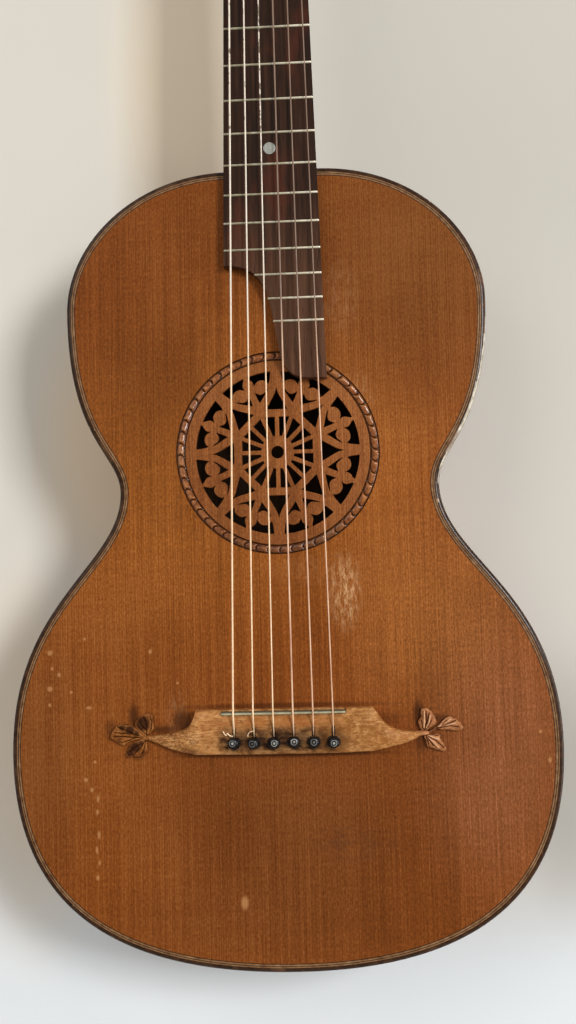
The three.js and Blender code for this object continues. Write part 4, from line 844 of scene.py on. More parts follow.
def rosette_pieces():
    Build().prism(circle(0, ROSETTE_Z, 53.0, 160), rosette_windows(), FACE, INNER_FACE).make(
        "star_tracery", FRET_WOOD, "rosette_wood", "rosette_tracery", bevel=0.22, steps=1, sharp=40)
    beads, per, across, low, high = 52, 14, 12, 53.15, 58.38
    rings = []
    for k in range(across + 1):
        radius = low + k / across * (high - low)
        ring = []
        for i in range(beads * per):
            phase = i / per
            angle = -2 * math.pi * phase / beads + math.pi / 2
            ring.append((radius * math.cos(angle), FACE - rope_rise(phase, 2 * k / across - 1),
                         ROSETTE_Z + radius * math.sin(angle)))
        rings.append(ring)
    rings += [[(x, INNER_FACE, z) for x, _, z in ring] for ring in (rings[-1], rings[0])] + rings[:1]
    Build().loft(rings, caps=False).make("rope_ring", ROPE, "carved_rope", "rosette_rope", sharp=60)


# Fingerboard, frets, nut


def board_bend():
    """The curved end of the fingerboard, from its bass edge over the hole to its foot on the treble side."""
    bass_z, bend_z, foot_z = SADDLE_Z + 254.5, SADDLE_Z + 221, SADDLE_Z + 188
    bass_x, offset = -board_half(bass_z), 21
    first = curve((bass_x, bass_z), (bass_x * 0.32, bass_z),
                  (bass_x * 0.14, bend_z + (bass_z - bend_z) * 0.72), (0, bend_z), 24)
    second = curve((0, bend_z), (offset * 0.16, bend_z - (bend_z - foot_z) * 0.64),
                   (offset * 0.16, foot_z), (offset, foot_z), 24)
    return first + second[1:]


def board_pieces():
    bend = board_bend()
    foot_z = bend[-1][1]
    outline = bend + [(board_half(foot_z), foot_z), (board_half(NUT_Z), NUT_Z), (-board_half(NUT_Z), NUT_Z)]
    dot_z = (fret_z(11) + fret_z(12)) / 2
    Build().prism(outline, [circle(0, dot_z, 3.55, 40)], BOARD, FACE).make(
        "board_plank", BOARD_WOOD, "fingerboard_wood", "fingerboard", bevel=0.4, steps=3, sharp=40)
    wires = Build()
    for n in range(1, 19):
        z = fret_z(n)
        low, high = -board_half(z), board_half(z)
        if z < bend[0][1]:
            low = max(p[0] for p in bend if p[1] >= z) + 0.1
        crown = 0.96 - 0.12 * math.exp(-((n - 3) / 4) ** 2)
        half = [(-0.62, 0.06), (-0.6, -0.25), (-0.48, -0.58), (-0.27, -0.86)]
        section = half + [(0, -crown)] + [(-a, b) for a, b in half[::-1]]
        ends = ((0.05, 0.45), (0.35, 0.85), (0.9, 1))
        stations = [(low + d, size) for d, size in ends] + [(high - d, size) for d, size in ends[::-1]]
        wires.loft([[(x, BOARD + b * size, z + a * (0.7 + 0.3 * size)) for a, b in section] for x, size in stations])
    wires.make("fret_wires", FRET, "fingerboard_wood", "fingerboard", sharp=50)
    profile = [(0, 1.2), (3.5, 1.2), (3.5, -0.02), (3.35, -0.08), (0, -0.14)]
    Build().lathe([(r, BOARD + y) for r, y in profile], lambda x, z, y: (x, y, dot_z + z), 40).make(
        "pearl_dot", PEARL, "pearl", "position_dot", sharp=50)
    half, nut_x = NUT_WIDTH / 2, string_places(NUT_SPREAD)
    stations = {x + d for x in nut_x for d in (-1.1, -0.6, 0, 0.6, 1.1)} | {-half, half, 0.5 - half, half - 0.5}
    rings = []
    for x in sorted(stations):
        crest = NUT_TOP - (0.0 if min(abs(x - n) for n in nut_x) < 0.7 else 0.55)
        crest += 0.0 if abs(x) < half - 0.2 else 0.45
        rings.append([(x, FACE, NUT_Z), (x, crest + 0.5, NUT_Z), (x, crest, NUT_Z + 0.5), (x, crest + 0.35, NUT_Z + 2),
                      (x, crest + 1.5, NUT_Z + 4), (x, crest + 2.7, HEAD_Z), (x, FACE, HEAD_Z)])
    Build().loft(rings).make("nut_bone", BONE, "bone", "nut", sharp=40)


# Bridge and saddle

BRIDGE_HALF, BRIDGE_END = 49.4, 76.2
BRIDGE_TOP, BRIDGE_FOOT = SADDLE_Z + 1.6, SADDLE_Z - 23.2
NODE_X, NODE_Z = BRIDGE_END + 1.85, BRIDGE_TOP - (BRIDGE_TOP - BRIDGE_FOOT) * 0.615
# The two wings were drawn out by hand and differ: shares of a wing's length and of the bridge's height from its top.
UPPER_WING = dict(
    bass=[(0, 0), (0.024, 0.098), (0.06, 0.217), (0.093, 0.286), (0.2, 0.4), (0.37, 0.474), (0.51, 0.521),
          (0.72, 0.543), (0.86, 0.553), (1, 0.563)],
    treble=[(0, 0), (0.04, 0.039), (0.093, 0.108), (0.2, 0.286), (0.302, 0.41), (0.444, 0.494), (0.582, 0.535),
            (0.79, 0.558), (1, 0.568)])
LOWER_WING = dict(
    bass=[(0, 0.984), (0.093, 0.966), (0.37, 0.917), (0.58, 0.847), (0.72, 0.789), (0.86, 0.717), (1, 0.664)],
    treble=[(0, 0.97), (0.093, 0.949), (0.302, 0.912), (0.51, 0.865), (0.72, 0.803), (0.895, 0.727), (1, 0.666)])


def bridge_edges(x):
    """Top and bottom edge and front of the bridge at a distance from its middle."""
    top, bottom = BRIDGE_TOP, BRIDGE_FOOT
    a, side = abs(x), "bass" if x < 0 else "treble"
    if a <= BRIDGE_HALF:
        end = LOWER_WING[side][0][1]
        return top, bottom + (1 - end) * (top - bottom) * (a / BRIDGE_HALF) ** 3, BRIDGE
    out = (a - BRIDGE_HALF) / (BRIDGE_END - BRIDGE_HALF)
    upper, lower = (np.interp(out, *zip(*wing[side])) for wing in (UPPER_WING, LOWER_WING))
    return top + upper * (bottom - top), top + lower * (bottom - top), BRIDGE + 4.8 * out


def bridge_pieces():
    wing = BRIDGE_HALF + (BRIDGE_END - BRIDGE_HALF) * np.linspace(0, 1, 40) ** 1.7
    rings = []
    for x in np.unique(np.concatenate([-wing, np.linspace(-BRIDGE_HALF, BRIDGE_HALF, 60), wing])):
        reach = min(1.4, (abs(x) - BRIDGE_HALF) * 0.9, BRIDGE_END - abs(x))
        near = [x + d * reach for d in (-1, -0.5, 0, 0.5, 1)] if reach > 0 else [x]
        top, bottom, front = np.mean([bridge_edges(spot) for spot in near], axis=0)
        edge = min(1.5, (FACE - front) * 0.35)
        soft = min(1.1, (top - bottom) * 0.2)
        half = [(FACE, 0), (front + edge * 1.2, 0), (front + edge * 0.45, soft * 0.35), (front + 0.12, soft)]
        rings.append([(x, y, bottom + up) for y, up in half] + [(x, front - 0.25, (top + bottom) / 2)]
                     + [(x, y, top - down) for y, down in half[::-1]])
    piece = Build().loft(rings).make("bridge_body", BRIDGE_WOOD, "bridge_wood", "bridge", sharp=45)
    knives = Build()
    for x in string_places(BRIDGE_SPREAD):
        knives.prism(pin_hole(x), [], BRIDGE - 3, FACE + 1)
    half, low, high, floor = 34.9, SADDLE_Z - 1.15, SADDLE_Z + 3, BRIDGE + 2.4
    knives.prism([(-half, low), (half, low), (half, high), (-half, high)], [], BRIDGE - 3, floor)
    carve(piece, knives)
    half = 34.6
    rings = []
    for x in np.linspace(-half, half, 60):
        end = min(1.0, (half - abs(x)) / 1.2 + 0.25)
        crest = CREST + (1 - end) * 1.2 + 0.25 * (x / half) ** 2
        section = [(floor, -0.9), (crest + 1.0, -0.9), (crest + 0.22, -0.7), (crest, -0.2), (crest + 0.12, 0.3),
                   (crest + 1.0, 0.9), (floor, 0.9)]
        rings.append([(x, y, SADDLE_Z + up) for y, up in section])
    Build().loft(rings).make("saddle_bone", SADDLE_BONE, "bone", "saddle", sharp=50)


# Leaves

# Leaflets: outline points from the node, outwards and up, with their veins, raised folds and hollows, each hollow sunk
# a little and painted with shade.
LEAVES = dict(
    bass=[
        dict(outline=[(0, 0.4), (3.2, 3.2), (6, 6), (6.6, 7.6), (5.6, 10), (3.2, 12.4), (0, 13.8), (-2.4, 14),
                      (-3.6, 12.8), (-4, 11.2), (-3.6, 9.6), (-4.8, 7.2), (-4.4, 5.2), (-2.8, 3.6), (-1.2, 2)],
             veins=[[(0, 0.5), (-0.5, 5), (0.3, 9), (1.4, 12)], [(-0.8, 1.6), (-3, 5.2), (-3.3, 8.9), (-2.6, 12)],
                    [(-0.3, 4.5), (2.6, 7.2), (3.6, 9.6)], [(0.2, 2), (3, 4.8), (4.8, 7)]],
             folds=[[(-1.4, 2.4), (-3.9, 5.4), (-4, 8), (-3.3, 11.6)]], dark=[((1.8, 8.4), 4.6, 0.85)], height=2.4),
        dict(outline=[(0, 0.2), (3.2, 3.2), (6, 5.6), (8.4, 7.2), (12, 7.8), (16, 7.8), (18, 6), (20, 3.2), (20.6, 1.2),
                      (20, -0.4), (18, -1.2), (15.2, -3.2), (12.8, -3.8), (11.2, -2.8), (9.2, -1.6), (5.2, -0.8)],
             veins=[[(0, 0.3), (7.2, 2.4), (12, 4.8), (16.6, 6.8)], [(1, 0.3), (8, 0.6), (14, 1.4), (18.6, 1.2)],
                    [(9, 3.2), (13.5, 2.9), (18, 3.6)], [(6, 0.5), (10, -1), (14, -2.2)]],
             folds=[[(1.6, 0.9), (8, 1.6), (13, 2.2), (17.6, 2.4)]], dark=[((9, 5), 3.2, 0.75), ((13.5, 6.4), 2.6, 0.7),
                                                                        ((5.4, 3), 2.4, 0.6)], height=2.2),
        dict(outline=[(0.4, -0.3), (3.2, -0.6), (7.2, -2.4), (9.6, -4), (10.8, -6.4), (11.6, -8.8), (11.2, -10.8),
                      (9.6, -10.8), (7.2, -10.2), (4.4, -10.2), (1.6, -9.4), (-0.4, -7.6), (-0.8, -5.6), (-0.4, -3.2)],
             veins=[[(0.3, -0.8), (2.4, -4), (5.2, -7), (8, -9.6)], [(0.4, -1.6), (1, -4.8), (2.6, -8.6)],
                    [(2, -3), (6.4, -4.6), (9.8, -7.4)]],
             folds=[[(0.8, -2.4), (2.2, -6), (4.6, -9.2)], [(0, -3.4), (0, -6.6), (1.6, -8.8)]],
             dark=[((6.4, -4.6), 3.4, 0.85), ((9.6, -8), 2.6, 0.75), ((3, -2.6), 2, 0.6)], height=2.3)],
    treble=[
        dict(outline=[(-1, 0.8), (-2.2, 2.8), (-3.2, 5.6), (-2.8, 7.6), (-1.6, 9.2), (-1.6, 11.6), (-1.4, 13.6),
                      (0.6, 13.8), (3, 13.2), (4.6, 12), (5.4, 10.4), (6.6, 8.4), (7, 6.4), (6.4, 4.6), (4.6, 3.6),
                      (1.8, 2), (0.2, 0.4)],
             veins=[[(1.2, 12), (1.4, 6.4), (0.5, 2.8), (0, 0.8)], [(-1.5, 7.4), (-0.9, 3.6), (0.1, 0.9)],
                    [(4, 6.8), (2.2, 3.6), (0.8, 1.6)], [(2.9, 11), (2.2, 7.4), (1.4, 5)]],
             folds=[[(0.3, 12), (0.2, 7), (-0.2, 3)], [(3.4, 9.6), (2.6, 5.6), (1.2, 2.8)]], dark=[], height=2.5),
        dict(outline=[(0.6, 0.7), (5.8, 2.8), (8.2, 4.4), (10.2, 6.8), (13, 8.8), (15.4, 8.6), (18.2, 7.2), (20.2, 5.4),
                      (21.6, 3.6), (21.4, 2), (19.4, 1), (16.6, 1), (13, 1.6), (10.2, 1.6), (6.6, 2), (2.6, 0.4)],
             veins=[[(17.8, 6.8), (9.8, 3.6), (4, 1.5), (0.6, 0.4)], [(18.8, 3.2), (14.6, 3.8), (10.6, 3.2), (7, 2.4)],
                    [(12.6, 6.8), (9.6, 4.2)]],
             folds=[[(17, 5.2), (12, 4.2), (8, 3.3)], [(14.6, 7.4), (11, 5.3), (8, 3.8)]], dark=[], height=2.2),
        dict(outline=[(0.2, -0.4), (2.6, -0.4), (6.6, -0.4), (9.6, -1.4), (8.6, -2.8), (9.4, -4), (11, -6.4),
                      (11.8, -8.4), (11.4, -9.8), (8.6, -9.8), (5.4, -8.8), (2.6, -8), (1.2, -7.2), (1, -4.8), (0, -2.4)],
             veins=[[(0.6, -1), (3.8, -0.8), (7.4, -1.5)], [(0.9, -1.2), (2.6, -3.6), (4.8, -7)],
                    [(1.2, -1.2), (6.6, -4.4), (10.4, -8)], [(1, -2), (1.8, -4.4), (2.2, -6.6)]],
             folds=[[(1.6, -2), (4.2, -4.2), (7.6, -8)], [(2, -1.3), (5.4, -2.6), (8, -3.4)]], dark=[], height=2.3)])


def away(spots, line):
    """Each spot's distance from a line of points."""
    line = np.array(line, float)
    best = np.full(len(spots), 1e9)
    for a, b in zip(line[:-1], line[1:]):
        way = b - a
        share = np.clip((spots - a) @ way / (way @ way), 0, 1)
        best = np.minimum(best, np.linalg.norm(spots - a - share[:, None] * way, axis=1))
    return best


def leaflet(build, side, outline, veins, folds, dark, height):
    """A carved leaflet: a domed plate with sunk veins and raised folds. Returns the painted shade at each point, below
    zero where the folds take a painted highlight.
    """
    ring = np.array(rounded(outline, 6, 75))
    count, step = len(ring), 0.27
    low, high = ring.min(0), ring.max(0)
    grid = np.array([(x + (row % 2) * step / 2, z) for row, z in enumerate(np.arange(low[1], high[1], step * 0.87))
                     for x in np.arange(low[0], high[0], step)])
    shut = np.vstack([ring, ring[:1]])
    flat = [Vector(p) for p in (*ring, *grid[away(grid, shut) > 0.16])]
    faces = inside_faces(flat, [(i, (i + 1) % count) for i in range(count)], [0])
    used = sorted({i for face in faces for i in face} | set(range(count)))
    number = {old: new for new, old in enumerate(used)}
    faces = [[number[i] for i in face] for face in faces]
    spots = np.array([tuple(flat[i]) for i in used])
    inner = away(spots, shut)
    rise = 1.7 + (height - 1.2) * (1 - np.exp(-inner / 0.9))
    rise *= 0.75 + 0.25 * np.clip(np.linalg.norm(spots, axis=1) / 4, 0, 1)
    # Painted shade along the edge, in the veins and hollows; a painted highlight on the folds.
    painted_shade = 0.75 * np.exp(-(inner / 0.34) ** 2) * (0.5 + 0.5 * np.sin(spots[:, 0] * 1.3 - spots[:, 1] * 1.7))
    for line in veins:
        gap = away(spots, line)
        rise -= 0.9 * np.exp(-(gap / 0.3) ** 2)
        painted_shade = np.maximum(painted_shade, 0.8 * np.exp(-(gap / 0.26) ** 2))
    for line in folds:
        gap = away(spots, line)
        rise += 0.8 * np.exp(-(gap / 0.5) ** 2)
        painted_shade = painted_shade - 0.8 * (1 - painted_shade) * np.exp(-(gap / 0.42) ** 2)
    for centre, radius, strength in dark:
        gap = np.linalg.norm(spots - centre, axis=1) / radius
        hollow_shade = strength * np.clip(1.5 - gap * 1.1, 0, 1) * (0.55 + 0.45 * np.clip(inner / 1.2, 0, 1))
        painted_shade = np.maximum(painted_shade, hollow_shade)
        rise -= 0.35 * np.exp(-gap ** 2 * 2)
    rise += 0.12 * np.sin(spots[:, 0] * 1.9 + 1) * np.sin(spots[:, 1] * 2.3)
    front = [(side * (NODE_X + x), FACE - max(h, 0.35), NODE_Z + z) for (x, z), h in zip(spots, rise)]
    total = len(front)
    walls = [[i, (i + 1) % count, (i + 1) % count + total, i + total] for i in range(count)]
    build.add(front + [(x, FACE, z) for x, _, z in front], faces + [[i + total for i in face][::-1] for face in faces]
              + walls)
    return list(painted_shade) + [0.7] * total


def leaf_pieces():
    for side, name, mat in ((-1, "bass", LEAF_BASS), (1, "treble", LEAF_TREBLE)):
        build, painted_shades = Build(), []
        for shape in LEAVES[name]:
            painted_shades += leaflet(build, side, **shape)
        path = [(BRIDGE_END - 0.6, 1.8, 0.1), (BRIDGE_END + 1, 1.8, 0.1), (NODE_X + 1, 1.6, 0),
                (NODE_X + 2.6, 1.2, 0.2)]
        stem = tube([(side * x, FACE - out, NODE_Z + up) for x, out, up in path], [1.5, 1.35, 1.2, 0.7], 12)
        build.loft(stem)
        painted_shades += [0.15] * sum(len(ring) for ring in stem)
        piece = build.make(f"ivy_leaf_{name}", mat, "leaf_wood", f"leaf_{name}", sharp=75, merge=False)
        # Each point's painted shade and highlight, read by the leaf material.
        layer = piece.data.attributes.new("painted_shade", "FLOAT", "POINT")
        layer.data.foreach_set("value", painted_shades)


# Bridge pins and strings

# How far each pin's head leans, across and up.
PIN_LEANS = [(-0.7, 0.3), (-0.75, -0.15), (0.4, 0), (0.3, 0.5), (0.2, 0.2), (0.2, -0.5)]


def pin_collar(x, turn):
    """The ragged dark collar round a pin's neck, open towards the saddle where the string passes."""
    steps, gap = 44, math.radians(20)
    rings = []
    for k, angle in enumerate(np.linspace(math.pi / 2 + gap, 5 * math.pi / 2 - gap, steps + 1)):
        ragged = math.sin(3 * angle + turn) + 0.6 * math.sin(7 * angle + 2.3 * turn) + 0.4 * math.sin(13 * angle + turn)
        thick = (0.62 + 0.07 * ragged) * min(1.0, 0.35 + k / 4, 0.35 + (steps - k) / 4)
        ring = []
        for t in around(10):
            r = 3.1 + 0.07 * ragged + thick * math.cos(t)
            y = BRIDGE - 0.12 - thick * (1 + math.sin(t))
            ring.append((x + r * math.cos(angle), y, PIN_Z + r * math.sin(angle)))
        rings.append(ring)
    return rings


def pin_pieces():
    seat = BRIDGE - 0.1
    shank = [(1.9, INNER_FACE + 7.5), (2.3, BRIDGE + 0.4)]
    head = [(2.35, 0), (2.9, 0), (3.25, 0.6), (3.32, 1.2), (3.2, 1.9), (2.95, 2.5), (2.6, 3.0), (2.2, 3.35), (1.8, 3.5)]
    eye = [(1.82, 3.45), (1.8, 3.62), (1.35, 3.68), (1.25, 3.5), (0.8, 3.5), (0.74, 3.72), (0.35, 3.78), (0.05, 3.8)]
    eye_marks = [1, 1, 0, 0, 0, 2, 2]
    profile = shank + [(radius, seat - out) for radius, out in head]
    for i, (x, (dx, dz)) in enumerate(zip(string_places(BRIDGE_SPREAD), PIN_LEANS)):
        number, turn = 6 - i, 1.7 * i
        rings = []
        for k, (radius, y) in enumerate(profile):
            lean = max(0.0, (seat - y) / 3.5)
            ring = []
            for angle in around(40):
                r = radius
                if 3 <= k <= 8:
                    r *= 1 - 0.035 * abs(math.sin(3.5 * angle + turn)) - 0.01 * math.sin(5 * angle + i)
                ring.append((x + r * math.cos(angle) + dx * lean, y, PIN_Z + r * math.sin(angle) + dz * lean))
            rings.append(ring)
        build = Build().loft(rings).loft(pin_collar(x, turn))
        build.loft([[(a, seat - out, b) for a, b in circle(x + dx, PIN_Z + dz, r, 28)] for r, out in eye], 1,
                   band=lambda r, _: eye_marks[r])
        mats = [EBONY, PIN_METAL, PEARL if number in (1, 4, 6) else STEEL]
        build.make(f"pin_{number}_turned", mats, "black_pin", f"bridge_pin_{number}", body=f"pin_{number}", sharp=30)


def string_path(i):
    """A string's path out of the bridge, over the saddle and the nut and round its roller."""
    radius, side, pair = RADII[i], -1 if i < 3 else 1, min(i, 5 - i)
    saddle_x, nut_x = string_places(BRIDGE_SPREAD)[i], string_places(NUT_SPREAD)[i]
    slot_z = PIN_Z + 2.6 + radius
    rest = radius + 0.05
    path = [(saddle_x, INNER_FACE + 5, slot_z), (saddle_x, BRIDGE + 2 * radius, slot_z),
            (saddle_x, CREST - rest, SADDLE_Z - 0.45), (saddle_x, CREST - rest, SADDLE_Z + 0.45),
            (nut_x, NUT_TOP - rest, NUT_Z)]
    y, z = NUT_TOP - rest - FACE, NUT_Z - HEAD_Z
    height, reach = HEIGHTS[pair], 4.3 + radius
    v = y * math.cos(TILT) - z * math.sin(TILT) - ROLLER_V
    w = y * math.sin(TILT) + z * math.cos(TILT) - height
    lean = math.atan2(w, v) - math.acos(reach / math.hypot(v, w))
    start_x = side * (6 + START_SHARES[pair] * 14.6)
    way = -side if abs(start_x) > SLOT_X else side
    turns, steps = 2.1, 60
    for k in range(steps + 1):
        angle = lean - 2 * math.pi * turns * k / steps
        x = start_x + way * (2 * radius + 0.5) * turns * k / steps
        path.append(head_point(x, ROLLER_V + reach * math.cos(angle), height + reach * math.sin(angle)))
    return path, radius


# The twisted string ends that show beside the two leftmost pins: across, out of the bridge and up from the pin.
CURLS = {6: [(-0.6, 0.4, 3.9), (-2.4, 0.8, 4.3), (-3.6, 1.1, 5.6), (-4.3, 0.8, 4.5), (-5.2, 0.9, 5.1), (-6.1, 1.3, 7)],
         5: [(-3.4, 0.5, 3.6), (-3.1, 0.9, 5), (-2, 1.7, 6.3), (0, 2.6, 6.8)]}


def string_pieces():
    for i in range(6):
        number = 6 - i
        path, radius = string_path(i)
        build = Build().loft(tube(path, [radius * 0.92] * len(path), 12))
        if number in CURLS:
            knots = [np.array((path[0][0] + a, BRIDGE - b, PIN_Z + c)) for a, b, c in CURLS[number]]
            curl = []
            for k, (a, b) in enumerate(zip(knots, knots[1:])):
                before, after = knots[max(k - 1, 0)], knots[min(k + 2, len(knots) - 1)]
                curl += curve(a, a + (b - before) / 6, b - (after - a) / 6, b, 6)[:-1]
            radii = [radius * 0.62] * (len(curl) - 1) + [radius * 0.5, radius * 0.25]
            build.loft(tube(curl + [knots[-1]], radii, 10))
        mat, slot = (WOUND, "wound_string") if number > 3 else (PLAIN, "plain_string")
        build.make(f"cord_{number}", mat, slot, f"string_{number}", sharp=70)


# Neck, heel, head


def heel_plan(share, y):
    """The heel's outline at a share of its depth, from 0 at the fingerboard to 1 at the cap."""
    reach = 17 + (66 - 17) * (1 - share) ** 2.4
    half = 12 + (board_half(JOINT_Z) - 0.25 - 12) * (1 - share) ** 1.2
    return [(half * math.cos(a), y, JOINT_Z + 0.25 + reach * math.sin(a)) for a in np.linspace(0, math.pi, 33)]


def head_outline(start):
    """The head from its front. A start below 0 adds the tongue that lies on the neck's back."""
    crown = [(1, 0), (0.955, 0.075), (0.9, 0.17), (0.83, 0.205), (0.74, 0.17), (0.66, 0.14), (0.57, 0.19), (0.47, 0.34),
             (0.375, 0.6), (0.28, 0.8), (0.2, 0.92), (0.12, 0.97), (0.05, 0.995), (0, 1)]
    half = board_half(NUT_Z) - 0.25
    right = curve((4.5, start), (11, start + 1), (half, start * 0.62), (half, 0), 14)[:-1] if start < 0 else []
    right += curve((half, 0), (half, 9.5), (HEAD_HALF, 9.5), (HEAD_HALF, 19), 18)
    right += [(a * HEAD_HALF, 148 + b * 16) for a, b in crown]
    return right + [(-x, w) for x, w in right[::-1][1:]]


def head_slots():
    radius, low, high = 7.3, 23, 137
    return [arc(x, high - radius, radius, 0, math.pi, 25) + arc(x, low + radius, radius, math.pi, 2 * math.pi, 25)
            for x in (-SLOT_X, SLOT_X)]


def on_head(build):
    build.points = [head_point(*p) for p in build.points]
    return build


def neck_pieces():
    start, power = JOINT_Z + 0.25, 2 / 2.3
    rings = []
    for z in np.linspace(start, HEAD_Z + 2, 30):
        half = min(board_half(z), board_half(start))
        depth = np.interp(z, [start, HEAD_Z], [18, 15])
        turns = [(math.cos(a), math.sin(a)) for a in np.linspace(0, math.pi, 41)]
        rings.append([(half * math.copysign(abs(c) ** power, c), FACE + depth * abs(s) ** power, z) for c, s in turns])
    back = back_y(JOINT_Z)
    heel_end = back - 2.6
    heel = [heel_plan(share, FACE + (heel_end - FACE) * share) for share in np.linspace(0, 1, 31)]
    Build().loft(rings).loft(heel).make("neck_shaft", NECK, "neck_wood", "neck", sharp=50)
    Build().loft([heel_plan(1, heel_end + 0.25), heel_plan(1, back - 0.3), heel_plan(0.999, back)]).make(
        "heel_plate", EDGE, "dark_edge", "heel_cap", sharp=40, bevel=0.3)
    drill = Build()
    for side in (-1, 1):
        for height in HEIGHTS:
            for radius, low, high in ((4.3, SLOT_X, HEAD_HALF + 3), (3.3, 2.4, SLOT_X + 0.1)):
                drill.lathe([(radius, side * low), (radius, side * high)],
                            lambda a, b, h: (h, ROLLER_V + a, height + b), 28)
    on_head(drill)
    drill.prism([(-40, HEAD_Z - 40), (40, HEAD_Z - 40), (40, HEAD_Z), (-40, HEAD_Z)], [], FACE - 20, FACE)
    piece = on_head(Build().prism(head_outline(-15), head_slots(), 0, HEAD_THICK)).make(
        "head_plank", NECK, "neck_wood", "neck", sharp=40)
    carve(piece, drill)
    soften(piece, 0.6, 3, 40)
    on_head(Build().prism(head_outline(0), head_slots(), -2, -0.25)).make(
        "head_face", VENEER, "veneer", "head_veneer", bevel=0.35, sharp=40)


# Tuners, end pin, inner pieces


def key_shape(side, height):
    """A worm on its shaft, and the button at the shaft's end."""
    def place(a, b, h):
        return head_point(side * KEY_X + a, ROLLER_V + h, height + TRAIN + b)
    half = PITCH * 2.6 / 2 + 0.96
    worm = Build().lathe([(1.95, -half), (1.95, half)], place, 24)
    root, last = WORM_RADIUS - 1.1, 52
    rings = []
    for k in range(last + 1):
        angle = 2 * math.pi * (k / 20 - 1.3)
        rise = PITCH * angle / (2 * math.pi)
        tip = root + 1.75 * min(1.0, k / 4 + 0.15, (last - k) / 4 + 0.15)
        rings.append([place(-r * math.sin(angle), -r * math.cos(angle), rise + s * (0.48 - (r - WORM_RADIUS) * FLANK))
                      for r, s in ((root, -1), (tip, -1), (tip, 1), (root, 1))])
    front = -half - 2.5
    shaft = [(0.9, front), (1.5, front + 0.4), (1.5, 12), (1.9, 12.4), (2.3, 13), (2.3, 13.6), (1.6, 14)]
    worm.loft(rings).lathe(shaft, place, 24)
    profile = [(0.0, 0.2), (0.02, 0.42), (0.1, 0.62), (0.2, 0.82), (0.33, 0.95), (0.5, 1), (0.68, 0.97), (0.84, 0.78),
               (0.95, 0.5), (1.0, 0.2)]
    button = Build().loft([[place(4.3 * size * math.cos(a), 8.9 * size * math.sin(a), 12 + 15 * t) for a in around(32)]
                           for t, size in profile])
    return worm, button


def roller_shape(side, height):
    """A gear on its axle, and the bone sleeve that takes the string."""
    def place(a, b, h):
        return head_point(side * h, ROLLER_V + a, height + b)
    end = KEY_X + 2
    gear = Build().lathe([(3.9, 27.5), (4, 27.7), (4, KEY_X - 1.9)], place, 32)
    gear.lathe([(2.7, 2.7), (2.95, 2.9), (2.95, 6.5)], place, 28)
    gear.lathe([(3.0, end - 0.1), (3.0, end + 0.7), (2.6, end + 1), (0.9, end + 1), (0.9, end + 0.6)], place, 28)
    root, tip = GEAR_RADIUS - 0.8, GEAR_RADIUS + 0.65
    tooth_shape = [(root, -1), (GEAR_RADIUS, -1), (tip, -1), (tip, 1), (GEAR_RADIUS, 1), (root, 1)]
    rings = []
    for offset in (-2, 2):
        slant = offset * PITCH / (2 * math.pi * WORM_RADIUS) / GEAR_RADIUS
        ring = []
        for tooth in range(TEETH):
            for r, s in tooth_shape:
                angle = slant + 2 * math.pi * (tooth + 0.5) / TEETH + s * (0.48 - (r - GEAR_RADIUS) * FLANK) / r
                ring.append(head_point(side * KEY_X + offset, ROLLER_V - r * math.sin(angle),
                                       height + r * math.cos(angle)))
        rings.append(ring)
    count = len(rings[0])
    faces = []
    for i in range(count):
        j = (i + 1) % count
        faces += [[i, j, j + count, i + count], [2 * count, j, i], [2 * count + 1, i + count, j + count]]
    gear.add(rings[0] + rings[1] + [tuple(np.mean(ring, axis=0)) for ring in rings], faces)
    sleeve = Build().lathe([(2.9, 6.25), (3.95, 6.3), (4.0, 6.6), (4.0, 27.2), (3.9, 27.5)], place, 36)
    return gear, sleeve


def tuner_pieces():
    for number in range(1, 7):
        place = (-1 if number > 3 else 1, HEIGHTS[min(number - 1, 6 - number)])
        (worm, button), (gear, sleeve) = key_shape(*place), roller_shape(*place)
        for build, name, mat, slot, part, sharp in (
                (worm, "worm_key", BRASS, "tuner_metal", "key", 35), (button, "button", BUTTON, "bone", "key", 60),
                (gear, "gear", BRASS, "tuner_metal", "roller", 35), (sleeve, "sleeve", BUTTON, "bone", "roller", 50)):
            build.make(f"{name}_{number}", mat, slot, f"tuner_{part}_{number}", body=f"{part}_{number}", sharp=sharp)
    surface = HEAD_HALF + PLATE_GAP + PLATE_THICK
    for side, name in ((-1, "bass"), (1, "treble")):
        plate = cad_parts[f"tuner_plate_{name}"]
        dress(plate, BRASS)
        soften(plate, 0.22, 2, 40)
        screws = Build()
        for w in (40.5, 70.5, 105.5, 136):
            for v in (ROLLER_V - 5.6, ROLLER_V + 5.6):
                screws.lathe([(1.55, -0.15), (1.55, 0.12), (1.3, 0.42), (0.8, 0.6), (0.3, 0.64)],
                             lambda a, b, h: head_point(side * (surface + h), v + a, w + b), 20)
        screws.make(f"plate_screws_{name}", STEEL, "tuner_metal", sharp=40)


def end_pin_piece():
    profile = [(0.05, 0), (3.6, 0.0), (4.6, 0.5), (5.8, 1.8), (6.4, 3.2), (6.5, 4.2), (6.1, 5.2), (4.6, 6.2),
               (3.5, 6.9), (3.9, 7.4), (5.4, 7.8), (6.4, 8.3), (6.5, 9.0), (3.9, 9.0), (3.9, 24)]
    build = Build().lathe(profile, lambda x, y, h: (x, y, h), 48)
    build.lathe([(0.05, 0), (1.5, 0), (1.5, 0.4)], lambda x, y, h: (x, y, h), 24, which=1)
    build.make("end_pin_turned", [EBONY, PEARL], "black_pin", "end_pin", sharp=45)


def dress(piece, mat):
    piece.data.materials.clear()
    piece.data.materials.append(mat)


def inner_pieces():
    names = ["rosette_backing", "neck_block", "tail_block", "bridge_patch"]
    names += [f"{where}_brace_{i}" for where in ("front", "back") for i in (1, 2, 3)]
    names += [f"lining_{where}_{side}" for where in ("front", "back") for side in ("bass", "treble")]
    for name in names:
        dress(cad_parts[name], INNER)


